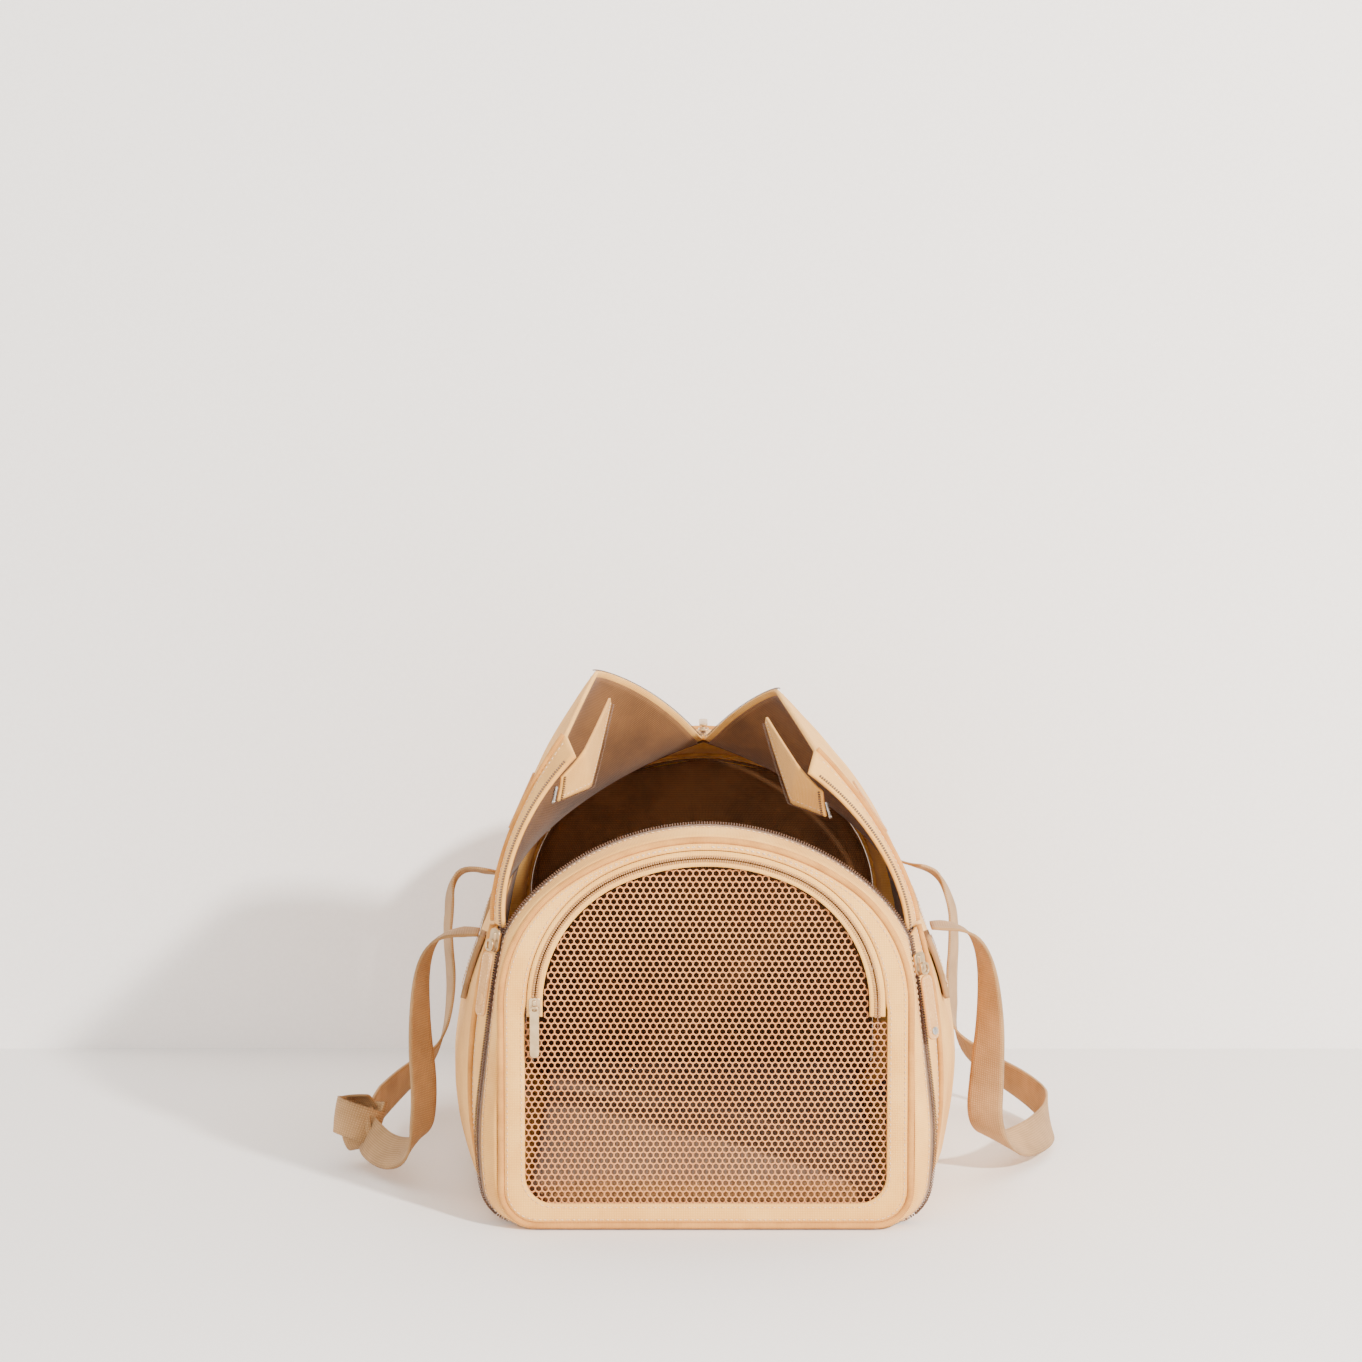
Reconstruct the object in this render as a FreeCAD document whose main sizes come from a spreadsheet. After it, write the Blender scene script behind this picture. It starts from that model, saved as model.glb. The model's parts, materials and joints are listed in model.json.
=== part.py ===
"""Soft-sided pet carrier bag, millimetres, +Z up, front panel towards -Y.
The origin is the middle of the underside."""
import FreeCAD, Part
import math
import os
import Sketcher

Vector = FreeCAD.Vector
doc = FreeCAD.newDocument("pet_carrier_bag")

# ---------------------------------------------------------------- driving dimensions
DRIVING = [
    ("length", 450, "front panel face to rear panel face"),
    ("rim_inset", 45, "end panel face to the body rim"),
    ("seam_inset", 21, "end panel face to the main zipper"),
    ("panel_half", 133, "half width of an end panel"),
    ("panel_top", 254, "height of an end panel"),
    ("panel_spring", "=panel_top - panel_half * 108 / 133", "height where an end panel's sides turn into its arch"),
    ("panel_shoulder", "=panel_half - 37", "shoulder radius of an end panel"),
    ("panel_corner", 25, "bottom corner radius of an end panel"),
    ("frame_bottom", 0.6, "lowest point of an end panel"),
    ("piping_radius", 2.2, "piping round an end panel"),
    ("frame_thickness", 2.4, "padded canvas border of an end panel"),
    ("board_thickness", 1.4, "stiffening board behind the border"),
    ("door_half", "=panel_half - 24", "half width of the door zipper's arch"),
    ("door_top", 240, "height of the door zipper"),
    ("door_spring", "=door_top - door_half * 94 / 109", "height where the door zipper's legs turn into its arch"),
    ("door_shoulder", "=door_half - 19", "shoulder radius of the door zipper"),
    ("door_foot", 136, "height of the door's fold line"),
    ("window_bottom", 17, "lower edge of the mesh window"),
    ("window_corner", 18, "bottom corner radius of the mesh window"),
    ("tape_width", 4.8, "from the middle of a door zipper to the edge of its tape"),
    ("coil_width", 1.7, "one row of coil"),
    ("coil_gap", 0.8, "between the two rows of coil"),
    ("coil_height", 2, "thickness of a row of coil"),
    ("tape_thickness", 1, "zipper tape"),
    ("mesh_thickness", 1.2, "knitted mesh"),
    ("mesh_margin", 2, "mesh hidden behind the border"),
    ("rim_hip", 152, "half width of the body at its rim"),
    ("rim_hip_height", 85, "height of that width"),
    ("rim_top", 281, "height of the closed body at its front rim"),
    ("rear_rim_top", 276, "height of the body at its rear rim"),
    ("mid_hip", 172, "half width of the body in the middle"),
    ("mid_hip_height", 75, "height of that width"),
    ("mid_top", 286, "height of the closed body in the middle"),
    ("seam_hip", 146, "half width at the main zipper"),
    ("seam_hip_height", 80, "height of that width"),
    ("seam_top", 260, "height of the main zipper"),
    ("seam_fold", 131, "half width where the main zipper meets the flap's fold"),
    ("seam_fold_height", 186, "height of that point"),
    ("fold_half", 137, "half width at the flap's fold line"),
    ("fold_height", 190, "height of the flap's fold line"),
    ("body_corner", 28, "radius of the body's lower edges"),
    ("wall", 4, "padded canvas wall"),
    ("lining", 1, "lining cloth"),
    ("strip_wall", 1.8, "canvas strip between piping and zipper"),
    ("gap", 0.4, "between pieces that lie side by side"),
    ("bead", 2.6, "half width of the rim piping"),
    ("flap_end", "=(length / 2 - rim_inset) / 3 + 1", "rear edge of the flaps"),
    ("crease", 31, "how far the flap corners turn in at the front"),
    ("crease_end", "=-(length / 2 - rim_inset) / 3", "where the turned-in corner runs out"),
    ("left_open", 32.5, "how far the left flap stands open, degrees"),
    ("right_open", 23, "how far the right flap stands open, degrees"),
    ("left_turn", 139, "how far the left flap's corner is turned in, degrees"),
    ("right_turn", 130, "how far the right flap's corner is turned in, degrees"),
    ("floor_thickness", 2.6, "floor panel"),
    ("base_thickness", 3, "stiff base board"),
    ("base_half", "=panel_half - 21", "half width of the base board"),
    ("base_length", "=length - 54", "length of the base board"),
    ("base_corner", 20, "corner radius of the base board"),
    ("pad_thickness", 16, "fleece mat"),
    ("pad_margin", 5, "mat beyond the board"),
    ("strap_width", 25, "handle webbing"),
    ("strap_thickness", 1.8, "handle webbing"),
    ("anchor_distance", 112, "handle anchors from the middle of the bag"),
    ("anchor_top", 172, "height of a handle anchor's top edge"),
    ("anchor_length", 42, "sewn-down end of a handle"),
    ("slider_width", 10, "main slider"),
    ("slider_length", 15, "main slider"),
    ("slider_thickness", 3, "main slider"),
    ("slider_stand", 3.8, "main slider, out from the middle of the zipper"),
    ("left_slider_rest", 184, "height of the left slider, parked"),
    ("right_slider_rest", 169, "height of the right slider, parked"),
    ("left_slider_turn", 52, "how far the left slider faces sideways, degrees"),
    ("right_slider_turn", 47, "how far the right slider faces sideways, degrees"),
    ("ring_wire", 1.6, "thickness of a slider's ring"),
    ("tab_width", 10, "leather pull tab"),
    ("tab_length", 42, "leather pull tab"),
    ("tab_thickness", 2.2, "leather pull tab"),
    ("door_slider_width", 7.5, "door slider"),
    ("door_slider_length", 12, "door slider"),
    ("door_pull_length", 33, "door pull"),
    ("door_pull_width", 6, "door pull"),
    ("door_pull_thickness", 1.5, "door pull"),
    ("clip_length", 16, "metal end clip of a flap's zipper"),
    ("patch_length", 40, "oval leather patch on a flap"),
    ("patch_width", 13, "oval leather patch on a flap"),
    ("patch_thickness", 1.6, "oval leather patch on a flap"),
]
sizes = doc.addObject("Spreadsheet::Sheet", "Sizes")
for row, (alias, value, meaning) in enumerate(DRIVING, start=1):
    sizes.set("A%d" % row, str(value))
    sizes.setAlias("A%d" % row, alias)
    sizes.set("B%d" % row, meaning)
doc.recompute()


class Sheet:
    """Reads the named cells as plain numbers."""

    def __getattr__(self, alias):
        return float(sizes.get(alias))


size = Sheet()
front = -size.length / 2
rear = size.length / 2
rim = size.length / 2 - size.rim_inset
seam = size.length / 2 - size.seam_inset
pieces = []


# ---------------------------------------------------------------- sketches and bodies
def new_body(label):
    body = doc.addObject("PartDesign::Body", label)
    body.Label = label
    pieces.append(body)
    return body


def new_sketch(body, role, name):
    sketch = body.newObject("Sketcher::SketchObject", name)
    plane = [f for f in body.Origin.OriginFeatures if f.Role == role][0]
    sketch.AttachmentSupport = [(plane, "")]
    sketch.MapMode = "FlatFace"
    return sketch


def bind(sketch, expression, kind, *place):
    """A driving dimension of the sketch, tied to the sheet."""
    value = float(sketch.evalExpression(expression))
    index = sketch.addConstraint(Sketcher.Constraint(kind, *place, value))
    sketch.setExpression("Constraints[%d]" % index, expression)


def join_round(sketch, first, last):
    """Each edge from first to last runs smoothly into the next one, and the last into the first."""
    for edge in range(first, last + 1):
        following = edge + 1 if edge < last else first
        sketch.addConstraint(Sketcher.Constraint("Tangent", edge, 2, following, 1))


def arc(sketch, x, y, radius, start, end):
    circle = Part.Circle(Vector(x, y, 0), Vector(0, 0, 1), radius)
    sketch.addGeometry(Part.ArcOfCircle(circle, start, end), False)


def line(sketch, x1, y1, x2, y2):
    sketch.addGeometry(Part.LineSegment(Vector(x1, y1, 0), Vector(x2, y2, 0)), False)


def arch(sketch, name, inset, bottom, corner):
    """The outline of an end panel or of the door, moved in by inset: a straight bottom with round
    corners, upright sides, a shoulder each side and a flatter crown."""
    half = "Sizes.%s_half - (%s)" % (name, inset)
    shoulder = "Sizes.%s_shoulder - (%s)" % (name, inset)
    top = "Sizes.%s_top - (%s)" % (name, inset)
    spring = "Sizes.%s_spring" % name
    rise = "(%s - %s)" % (top, spring)
    crown = "((Sizes.{0}_half - Sizes.{0}_shoulder)^2 + {1}^2 - ({2})^2) / (2 * ({1} - ({2})))".format(
        name, rise, shoulder)
    w, r, t, s, c, b, k = [float(sketch.evalExpression(e))
                           for e in (half, shoulder, top, spring, crown, bottom, corner)]
    turn = math.atan2(s - (t - c), w - r)
    first = len(sketch.Geometry)
    line(sketch, -(w - k), b, w - k, b)
    arc(sketch, w - k, b + k, k, -math.pi / 2, 0)
    line(sketch, w, b + k, w, s)
    arc(sketch, w - r, s, r, 0, turn)
    arc(sketch, 0, t - c, c, turn, math.pi - turn)
    arc(sketch, -(w - r), s, r, math.pi - turn, math.pi)
    line(sketch, -w, s, -w, b + k)
    arc(sketch, -(w - k), b + k, k, math.pi, 3 * math.pi / 2)
    join_round(sketch, first, first + 7)
    add = sketch.addConstraint
    add(Sketcher.Constraint("Symmetric", first, 1, first, 2, -2))
    add(Sketcher.Constraint("Equal", first + 1, first + 7))
    add(Sketcher.Constraint("Symmetric", first + 3, 3, first + 5, 3, -2))
    add(Sketcher.Constraint("Equal", first + 3, first + 5))
    add(Sketcher.Constraint("Vertical", first + 2))
    bind(sketch, corner, "Radius", first + 1)
    bind(sketch, shoulder, "Radius", first + 3)
    bind(sketch, crown, "Radius", first + 4)
    bind(sketch, half, "DistanceX", -1, 1, first + 2, 1)
    bind(sketch, bottom, "DistanceY", -1, 1, first, 1)
    bind(sketch, spring, "DistanceY", -1, 1, first + 3, 3)


def rounded_box(sketch, half_x, low_y, high_y, corner):
    """A rectangle with four round corners, even about the vertical axis."""
    x, y0, y1, k = [float(sketch.evalExpression(e)) for e in (half_x, low_y, high_y, corner)]
    first = len(sketch.Geometry)
    line(sketch, -(x - k), y0, x - k, y0)
    arc(sketch, x - k, y0 + k, k, -math.pi / 2, 0)
    line(sketch, x, y0 + k, x, y1 - k)
    arc(sketch, x - k, y1 - k, k, 0, math.pi / 2)
    line(sketch, x - k, y1, -(x - k), y1)
    arc(sketch, -(x - k), y1 - k, k, math.pi / 2, math.pi)
    line(sketch, -x, y1 - k, -x, y0 + k)
    arc(sketch, -(x - k), y0 + k, k, math.pi, 3 * math.pi / 2)
    join_round(sketch, first, first + 7)
    add = sketch.addConstraint
    add(Sketcher.Constraint("Symmetric", first, 1, first, 2, -2))
    for other in (3, 5, 7):
        add(Sketcher.Constraint("Equal", first + 1, first + other))
    add(Sketcher.Constraint("Vertical", first + 2))
    add(Sketcher.Constraint("Horizontal", first + 4))
    bind(sketch, corner, "Radius", first + 1)
    bind(sketch, half_x, "DistanceX", -1, 1, first + 2, 1)
    place_level(sketch, low_y, first)
    place_level(sketch, high_y, first + 4)


def place_level(sketch, height, edge):
    """Holds an edge at a height above or below the sketch's own origin."""
    if float(sketch.evalExpression(height)) >= 0:
        bind(sketch, height, "DistanceY", -1, 1, edge, 1)
    else:
        bind(sketch, "-(%s)" % height, "DistanceY", edge, 1, -1, 1)


def pad(body, sketch, length, towards_minus=False):
    feature = body.newObject("PartDesign::Pad", "%sPad" % body.Name)
    feature.Profile = sketch
    feature.setExpression("Length", length)
    feature.Reversed = towards_minus
    body.Tip = feature
    doc.recompute()
    return feature


def pocket_through(body, sketch):
    feature = body.newObject("PartDesign::Pocket", "%sPocket" % body.Name)
    feature.Profile = sketch
    feature.Type = "ThroughAll"
    feature.Midplane = True
    body.Tip = feature
    doc.recompute()
    return feature


def round_edges(body, base, radius, wanted):
    """Fillets the edges of base for which wanted(edge) holds."""
    names = ["Edge%d" % (i + 1) for i, edge in enumerate(base.Shape.Edges) if wanted(edge)]
    feature = body.newObject("PartDesign::Fillet", "%sFillet" % body.Name)
    feature.Base = (base, names)
    feature.setExpression("Radius", radius)
    body.Tip = feature
    doc.recompute()
    return feature


def arch_plate(label, depth, thickness, outer, window=None):
    """A flat plate cut to an arch. depth is the Y of its outer face, and it grows inwards, away
    from that face. outer and window are (outline name, inset, bottom, corner)."""
    body = new_body(label)
    profile = new_sketch(body, "XZ_Plane", label + "_profile")
    arch(profile, *outer)
    inwards = not depth.startswith("+")
    pad(body, profile, thickness, towards_minus=inwards)
    if window:
        opening = new_sketch(body, "XZ_Plane", label + "_opening")
        arch(opening, *window)
        pocket_through(body, opening)
    body.setExpression("Placement.Base.y", depth.lstrip("+"))
    return body


# ---------------------------------------------------------------- cross-sections of the fabric body
LOWER_POINTS = 13
ROOF_POINTS = 9


def resample(points, count):
    """count points along a polyline, evenly spaced by length."""
    reach = [0.0]
    for a, b in zip(points, points[1:]):
        reach.append(reach[-1] + math.dist(a, b))
    out = []
    leg = 0
    for i in range(count):
        wanted = reach[-1] * i / (count - 1)
        while leg < len(points) - 2 and reach[leg + 1] < wanted:
            leg += 1
        share = (wanted - reach[leg]) / (reach[leg + 1] - reach[leg])
        out.append(tuple(a + (b - a) * share for a, b in zip(points[leg], points[leg + 1])))
    return out


def arc_points(cx, cz, radius, start, end, count=24):
    angles = [start + (end - start) * i / count for i in range(count + 1)]
    return [(cx + radius * math.cos(a), cz + radius * math.sin(a)) for a in angles]


def side_outline(hip, hip_height, fold, fold_height, side_radius, low_radius, corner):
    """Right half of the body's side: lower edge, flank and shoulder up to the flap's fold, as
    three arcs that run into each other."""
    mid_x, mid_z = (hip + fold) / 2, (hip_height + fold_height) / 2
    chord = math.dist((hip, hip_height), (fold, fold_height))
    reach = math.sqrt(side_radius ** 2 - chord ** 2 / 4)
    across = (-(fold_height - hip_height) / chord, (fold - hip) / chord)
    cx, cz = mid_x + across[0] * reach, mid_z + across[1] * reach
    hip_angle = math.atan2(hip_height - cz, hip - cx)
    fold_angle = math.atan2(fold_height - cz, fold - cx)
    low_x = hip - low_radius * math.cos(hip_angle)
    low_z = hip_height - low_radius * math.sin(hip_angle)
    corner_x = low_x + math.sqrt((low_radius - corner) ** 2 - (low_z - corner) ** 2)
    meet = math.atan2(corner - low_z, corner_x - low_x)
    points = arc_points(corner_x, corner, corner, -math.pi / 2, meet)
    points += arc_points(low_x, low_z, low_radius, meet, hip_angle)[1:]
    points += arc_points(cx, cz, side_radius, hip_angle, fold_angle)[1:]
    return points


def roof_outline(fold, fold_height, top, low, high):
    """Right half of the closed roof: a curve from the flap's fold to the middle line. low and
    high are how far up its two handles stand: 1 at high gives a round top, less gives a ridge."""
    rise = top - fold_height
    ends = [(fold, fold_height), (0.88 * fold, fold_height + low * rise),
            (0.47 * fold, fold_height + high * rise), (0.0, top)]
    points = []
    for i in range(49):
        u = i / 48
        weights = [(1 - u) ** 3, 3 * u * (1 - u) ** 2, 3 * u * u * (1 - u), u ** 3]
        points.append(tuple(sum(w * p[k] for w, p in zip(weights, ends)) for k in (0, 1)))
    return points


def panel_outline():
    """Right half of an end panel's outline, as its lower part and its roof part."""
    w, r, s, t, k = (size.panel_half, size.panel_shoulder, size.panel_spring, size.panel_top,
                     size.panel_corner)
    rise = t - s
    crown = ((w - r) ** 2 + rise ** 2 - r ** 2) / (2 * (rise - r))
    turn = math.atan2(s - (t - crown), w - r)
    points = arc_points(w - k, k, k, -math.pi / 2, 0)
    points += arc_points(w - r, s, r, 0, turn, 40)
    points += arc_points(0, t - crown, crown, turn, math.pi / 2, 40)[1:]
    cut = next(i for i, p in enumerate(points) if p[1] > size.seam_fold_height)
    return points[:cut + 1], points[cut:]


def section(lower, roof):
    return resample(lower, LOWER_POINTS), resample(roof, ROOF_POINTS)


PANEL = section(*panel_outline())
SEAM = section(
    side_outline(size.seam_hip, size.seam_hip_height, size.seam_fold, size.seam_fold_height,
                 40 * size.seam_hip, 1.37 * size.seam_hip, size.body_corner),
    roof_outline(size.seam_fold, size.seam_fold_height, size.seam_top, 0.49, 1.0))
RIM = section(
    side_outline(size.rim_hip, size.rim_hip_height, size.fold_half, size.fold_height,
                 2.47 * size.rim_hip, 1.64 * size.rim_hip, size.body_corner),
    roof_outline(size.fold_half, size.fold_height, size.rim_top, 0.35, 0.79))
REAR_RIM = (RIM[0], resample(
    roof_outline(size.fold_half, size.fold_height, size.rear_rim_top, 0.42, 1.0), ROOF_POINTS))
MIDDLE = section(
    side_outline(size.mid_hip, size.mid_hip_height, size.fold_half, size.fold_height,
                 1.2 * size.mid_hip, 1.16 * size.mid_hip, size.body_corner),
    roof_outline(size.fold_half, size.fold_height, size.mid_top, 0.34, 0.75))


def mix(a, b, share):
    return [tuple(p + (q - p) * share for p, q in zip(m, n)) for m, n in zip(a, b)]


def at(y, part):
    """The body's cross-section at y. part 0 is the side up to the fold, part 1 the roof."""
    depth = abs(y)
    edge = RIM[part] if y < 0 else REAR_RIM[part]
    if depth <= rim:
        return mix(edge, MIDDLE[part], 1 - (depth / rim) ** 2)
    if depth <= seam:
        return mix(edge, SEAM[part], (depth - rim) / (seam - rim))
    return mix(SEAM[part], PANEL[part], (depth - seam) / (rear - seam))


def side(y):
    return at(y, 0)


def roof(y):
    return at(y, 1)


def half(y):
    """Lower edge to the middle of the roof."""
    return at(y, 0) + at(y, 1)[1:]


def whole(y):
    """Over the top, from the lower edge on the right to the lower edge on the left."""
    right = half(y)
    return right + [(-x, z) for x, z in reversed(right[:-1])]


def roof_over(y):
    right = roof(y)
    return right + [(-x, z) for x, z in reversed(right[:-1])]


def moved_in(points, distance):
    """The points moved inwards, square to the line through them."""
    out = []
    for i, (x, z) in enumerate(points):
        a = points[max(i - 1, 0)]
        b = points[min(i + 1, len(points) - 1)]
        run = math.dist(a, b)
        out.append((x - (b[1] - a[1]) / run * distance, z + (b[0] - a[0]) / run * distance))
    return out


def cut_roof(y, from_x, to_x, count=7):
    """The part of the roof between two distances from the middle line."""
    dense = resample(roof(y), 200)
    kept = [p for p in dense if to_x <= p[0] <= from_x]
    return resample(kept, count)


def shell(stations, outer, inner):
    """A curved wall between outer and inner, measured inwards from the cross-sections' line.
    stations are (y, points); the wall is ruled from each to the next."""
    wires = []
    for y, points in stations:
        skins = []
        for distance in (outer, inner):
            skins.append([Vector(x, y, z) for x, z in moved_in(points, distance)])
        skins[1].reverse()
        edges = []
        for k in (0, 1):
            curve = Part.BSplineCurve()
            curve.interpolate(skins[k])
            edges += [curve.toShape(), Part.makeLine(skins[k][-1], skins[1 - k][0])]
        wires.append(Part.Wire(edges))
    return Part.makeLoft(wires, True, True)


def mirrored(shape):
    return shape.mirror(Vector(0, 0, 0), Vector(1, 0, 0))


def add_piece(label, shape, placement=None):
    feature = doc.addObject("Part::Feature", label)
    feature.Label = label
    feature.Shape = shape
    if placement:
        feature.Placement = placement
    pieces.append(feature)
    return feature


def add_pair(name, shape):
    """The same piece on the right and, mirrored, on the left."""
    add_piece(name + "_right", shape)
    add_piece(name + "_left", mirrored(shape))


def spread(start, end, count):
    return [start + (end - start) * i / count for i in range(count + 1)]


# ---------------------------------------------------------------- floor, base board and mat
def floor_panel():
    """The canvas underside: its sides follow the lower edges of the body's cross-sections."""
    right = [(section[0][0][0] - size.wall / 2, y) for section, y in
             ((PANEL, -rear + 2 * size.piping_radius), (SEAM, -seam), (RIM, -rim))]
    right += [(x, -y) for x, y in reversed(right)]
    left = [(-x, y) for x, y in reversed(right)]
    edges = []
    for k, run in enumerate((right, left)):
        corners = [Vector(x, y, 0) for x, y in run]
        bow = Vector((1 - 2 * k) * (MIDDLE[0][0][0] - size.wall / 2), 0, 0)
        edges += [Part.makeLine(corners[i], corners[i + 1]) for i in (0, 1)]
        edges.append(Part.Arc(corners[2], bow, corners[3]).toShape())
        edges += [Part.makeLine(corners[i], corners[i + 1]) for i in (3, 4)]
        onward = (left, right)[k][0]
        edges.append(Part.makeLine(corners[5], Vector(onward[0], onward[1], 0)))
    outline = Part.Face(Part.Wire(edges))
    return outline.extrude(Vector(0, 0, size.floor_thickness))


add_piece("bottom_panel", floor_panel())


def flat_slab(label, half_width, half_length, corner, height, thickness, edge_radius=None):
    body = new_body(label)
    sketch = new_sketch(body, "XY_Plane", label + "_profile")
    rounded_box(sketch, half_width, "-(%s)" % half_length, half_length, corner)
    feature = pad(body, sketch, thickness)
    if edge_radius:
        top = feature.Shape.BoundBox.ZMax
        round_edges(body, feature, edge_radius,
                    lambda edge: abs(edge.BoundBox.ZMin - top) < 1e-6)
    body.setExpression("Placement.Base.z", height)
    return body


base_height = "Sizes.floor_thickness + Sizes.gap"
flat_slab("base_board", "Sizes.base_half", "Sizes.base_length / 2", "Sizes.base_corner",
          base_height, "Sizes.base_thickness")
flat_slab("base_pad", "Sizes.base_half + Sizes.pad_margin",
          "Sizes.base_length / 2 + Sizes.pad_margin", "Sizes.base_corner + Sizes.pad_margin",
          base_height + " + Sizes.base_thickness + Sizes.gap", "Sizes.pad_thickness",
          "Sizes.pad_thickness / 3")

# ---------------------------------------------------------------- sides, lining and roof
body_stations = spread(-rim + size.bead + size.gap, rim - size.bead - size.gap, 8)


def trimmed(points, start=0.0, end=0.0):
    """The points with a length taken off each end of their line."""
    dense = resample(points, 400)
    reach = [0.0]
    for a, b in zip(dense, dense[1:]):
        reach.append(reach[-1] + math.dist(a, b))
    kept = [p for p, r in zip(dense, reach) if start <= r <= reach[-1] - end]
    return resample(kept, len(points))


add_pair("side_panel", shell([(y, side(y)) for y in body_stations], 0, size.wall))
lining_top = 3 * size.wall
add_pair("side_lining", shell([(y, trimmed(side(y), size.wall, lining_top)) for y in body_stations],
                              size.wall + size.gap, size.wall + size.gap + size.lining))
roof_stations = spread(size.flap_end + 2, body_stations[-1], 3)
add_piece("top_rear_panel", shell([(y, trimmed(roof_over(y), 3 * size.gap, 3 * size.gap))
                                   for y in roof_stations], 0, size.wall))

# The rim piping starts where the body's lower edge has risen clear of the floor. At the front it
# stops at the fold line, where the flap's own edge takes over.
foot = size.body_corner / 2
rim_front = [(y, trimmed(side(y), foot)) for y in (-rim - size.bead, -rim + size.bead)]
rim_rear = [(y, trimmed(whole(y), foot, foot)) for y in (rim - size.bead, rim + size.bead)]
add_pair("rim_piping", shell(rim_front, -size.bead + 1, size.bead))
add_piece("rear_rim_piping", shell(rim_rear, -size.bead + 1, size.bead))

# ---------------------------------------------------------------- main zipper between rim and front panel
row = size.coil_width + 0.6
row_gap = 3 * size.coil_gap
strip_start = rim + size.bead + size.gap
rear_row = seam - row_gap / 2 - row
front_row = seam + row_gap / 2


def strip(near, far, points, outer, inner, cut=0):
    """A band round the front of the body, from near to far ahead of its middle."""
    stations = []
    for y in (-near, -far):
        line = points(y)
        stations.append((y, trimmed(line, cut, cut if points is whole else 0)))
    return shell(stations, outer, inner)


add_pair("zipper_strip", strip(strip_start, rear_row - size.gap, side, 0, size.strip_wall))
add_pair("zipper_coil", strip(rear_row, rear_row + row, side, -size.gap, size.coil_height, foot))
front_edge = rear - 2 * size.piping_radius - size.gap / 2
add_piece("front_coil", strip(front_row, front_row + row, whole, -size.gap, size.coil_height, foot))
add_piece("front_strip", strip(front_row + row + size.gap, front_edge, whole, size.gap / 2, size.strip_wall))
rear_stations = [rim + size.bead + size.gap, seam, rear - 2 * size.piping_radius - size.gap]
add_piece("rear_gusset", shell([(y, whole(y)) for y in rear_stations], 0, size.strip_wall))

# ---------------------------------------------------------------- end panels
piping_inset = "2 * Sizes.piping_radius + Sizes.gap"
frame_outer = ("panel", piping_inset, "Sizes.frame_bottom + 2 * Sizes.piping_radius + Sizes.gap",
               "Sizes.panel_corner - 2 * Sizes.piping_radius - Sizes.gap")
window = ("door", "-Sizes.tape_width - Sizes.gap", "Sizes.window_bottom", "Sizes.window_corner")
wide_window = ("door", "-Sizes.tape_width - Sizes.mesh_margin - 2 * Sizes.gap",
               "Sizes.window_bottom - Sizes.mesh_margin - Sizes.gap",
               "Sizes.window_corner + Sizes.mesh_margin + Sizes.gap")
mesh_depth = "Sizes.frame_thickness + Sizes.gap"
FRONT, REAR = "-Sizes.length / 2 + ", "+Sizes.length / 2 - "

arch_plate("front_frame", FRONT + "0", "Sizes.frame_thickness", frame_outer, window)
arch_plate("front_stiffener", FRONT + mesh_depth, "Sizes.board_thickness", frame_outer, wide_window)
arch_plate("rear_frame", REAR + "0", "Sizes.frame_thickness", frame_outer, window)
arch_plate("rear_stiffener", REAR + "(%s)" % mesh_depth, "Sizes.board_thickness", frame_outer,
           wide_window)
mesh_outline = ("door", "-Sizes.tape_width - Sizes.mesh_margin",
                "Sizes.window_bottom - Sizes.mesh_margin",
                "Sizes.window_corner + Sizes.mesh_margin")
arch_plate("rear_cloth", REAR + "(%s)" % mesh_depth, "Sizes.mesh_thickness", mesh_outline)


def lower_mesh():
    """The mesh under the door: it stops at the door's fold line."""
    body = new_body("front_mesh_lower")
    sketch = new_sketch(body, "XZ_Plane", "lower_mesh_profile")
    rounded_box(sketch, "Sizes.door_half + Sizes.tape_width + Sizes.mesh_margin",
                "Sizes.window_bottom - Sizes.mesh_margin", "Sizes.door_foot - Sizes.gap",
                "Sizes.window_corner + Sizes.mesh_margin")
    pad(body, sketch, "Sizes.mesh_thickness", towards_minus=True)
    body.setExpression("Placement.Base.y", FRONT + mesh_depth)


lower_mesh()
door_foot = "Sizes.door_foot + Sizes.gap"
arch_plate("door_mesh", FRONT + mesh_depth, "Sizes.mesh_thickness",
           ("door", "Sizes.tape_width - Sizes.mesh_margin", door_foot, "Sizes.coil_width"))


def door_band(label, outer_inset, inner_inset, depth, thickness):
    """A narrow arch that follows the door zipper, open at the bottom."""
    arch_plate(label, FRONT + depth, thickness,
               ("door", outer_inset, door_foot, "Sizes.gap"),
               ("door", inner_inset, "Sizes.window_bottom", "Sizes.gap"))


half_gap = "Sizes.coil_gap / 2"
row_edge = half_gap + " + Sizes.coil_width"
tape_depth = "Sizes.frame_thickness - Sizes.tape_thickness - Sizes.gap"
door_band("door_tape_outer", "-Sizes.tape_width", "-(%s + Sizes.gap)" % row_edge, tape_depth,
          "Sizes.tape_thickness")
door_band("door_coil_outer", "-(%s)" % row_edge, "-(%s)" % half_gap, "0", "Sizes.coil_height")
door_band("door_coil_inner", half_gap, row_edge, "0", "Sizes.coil_height")
door_band("door_tape_inner", row_edge + " + Sizes.gap", "Sizes.tape_width", tape_depth,
          "Sizes.tape_thickness")


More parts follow.
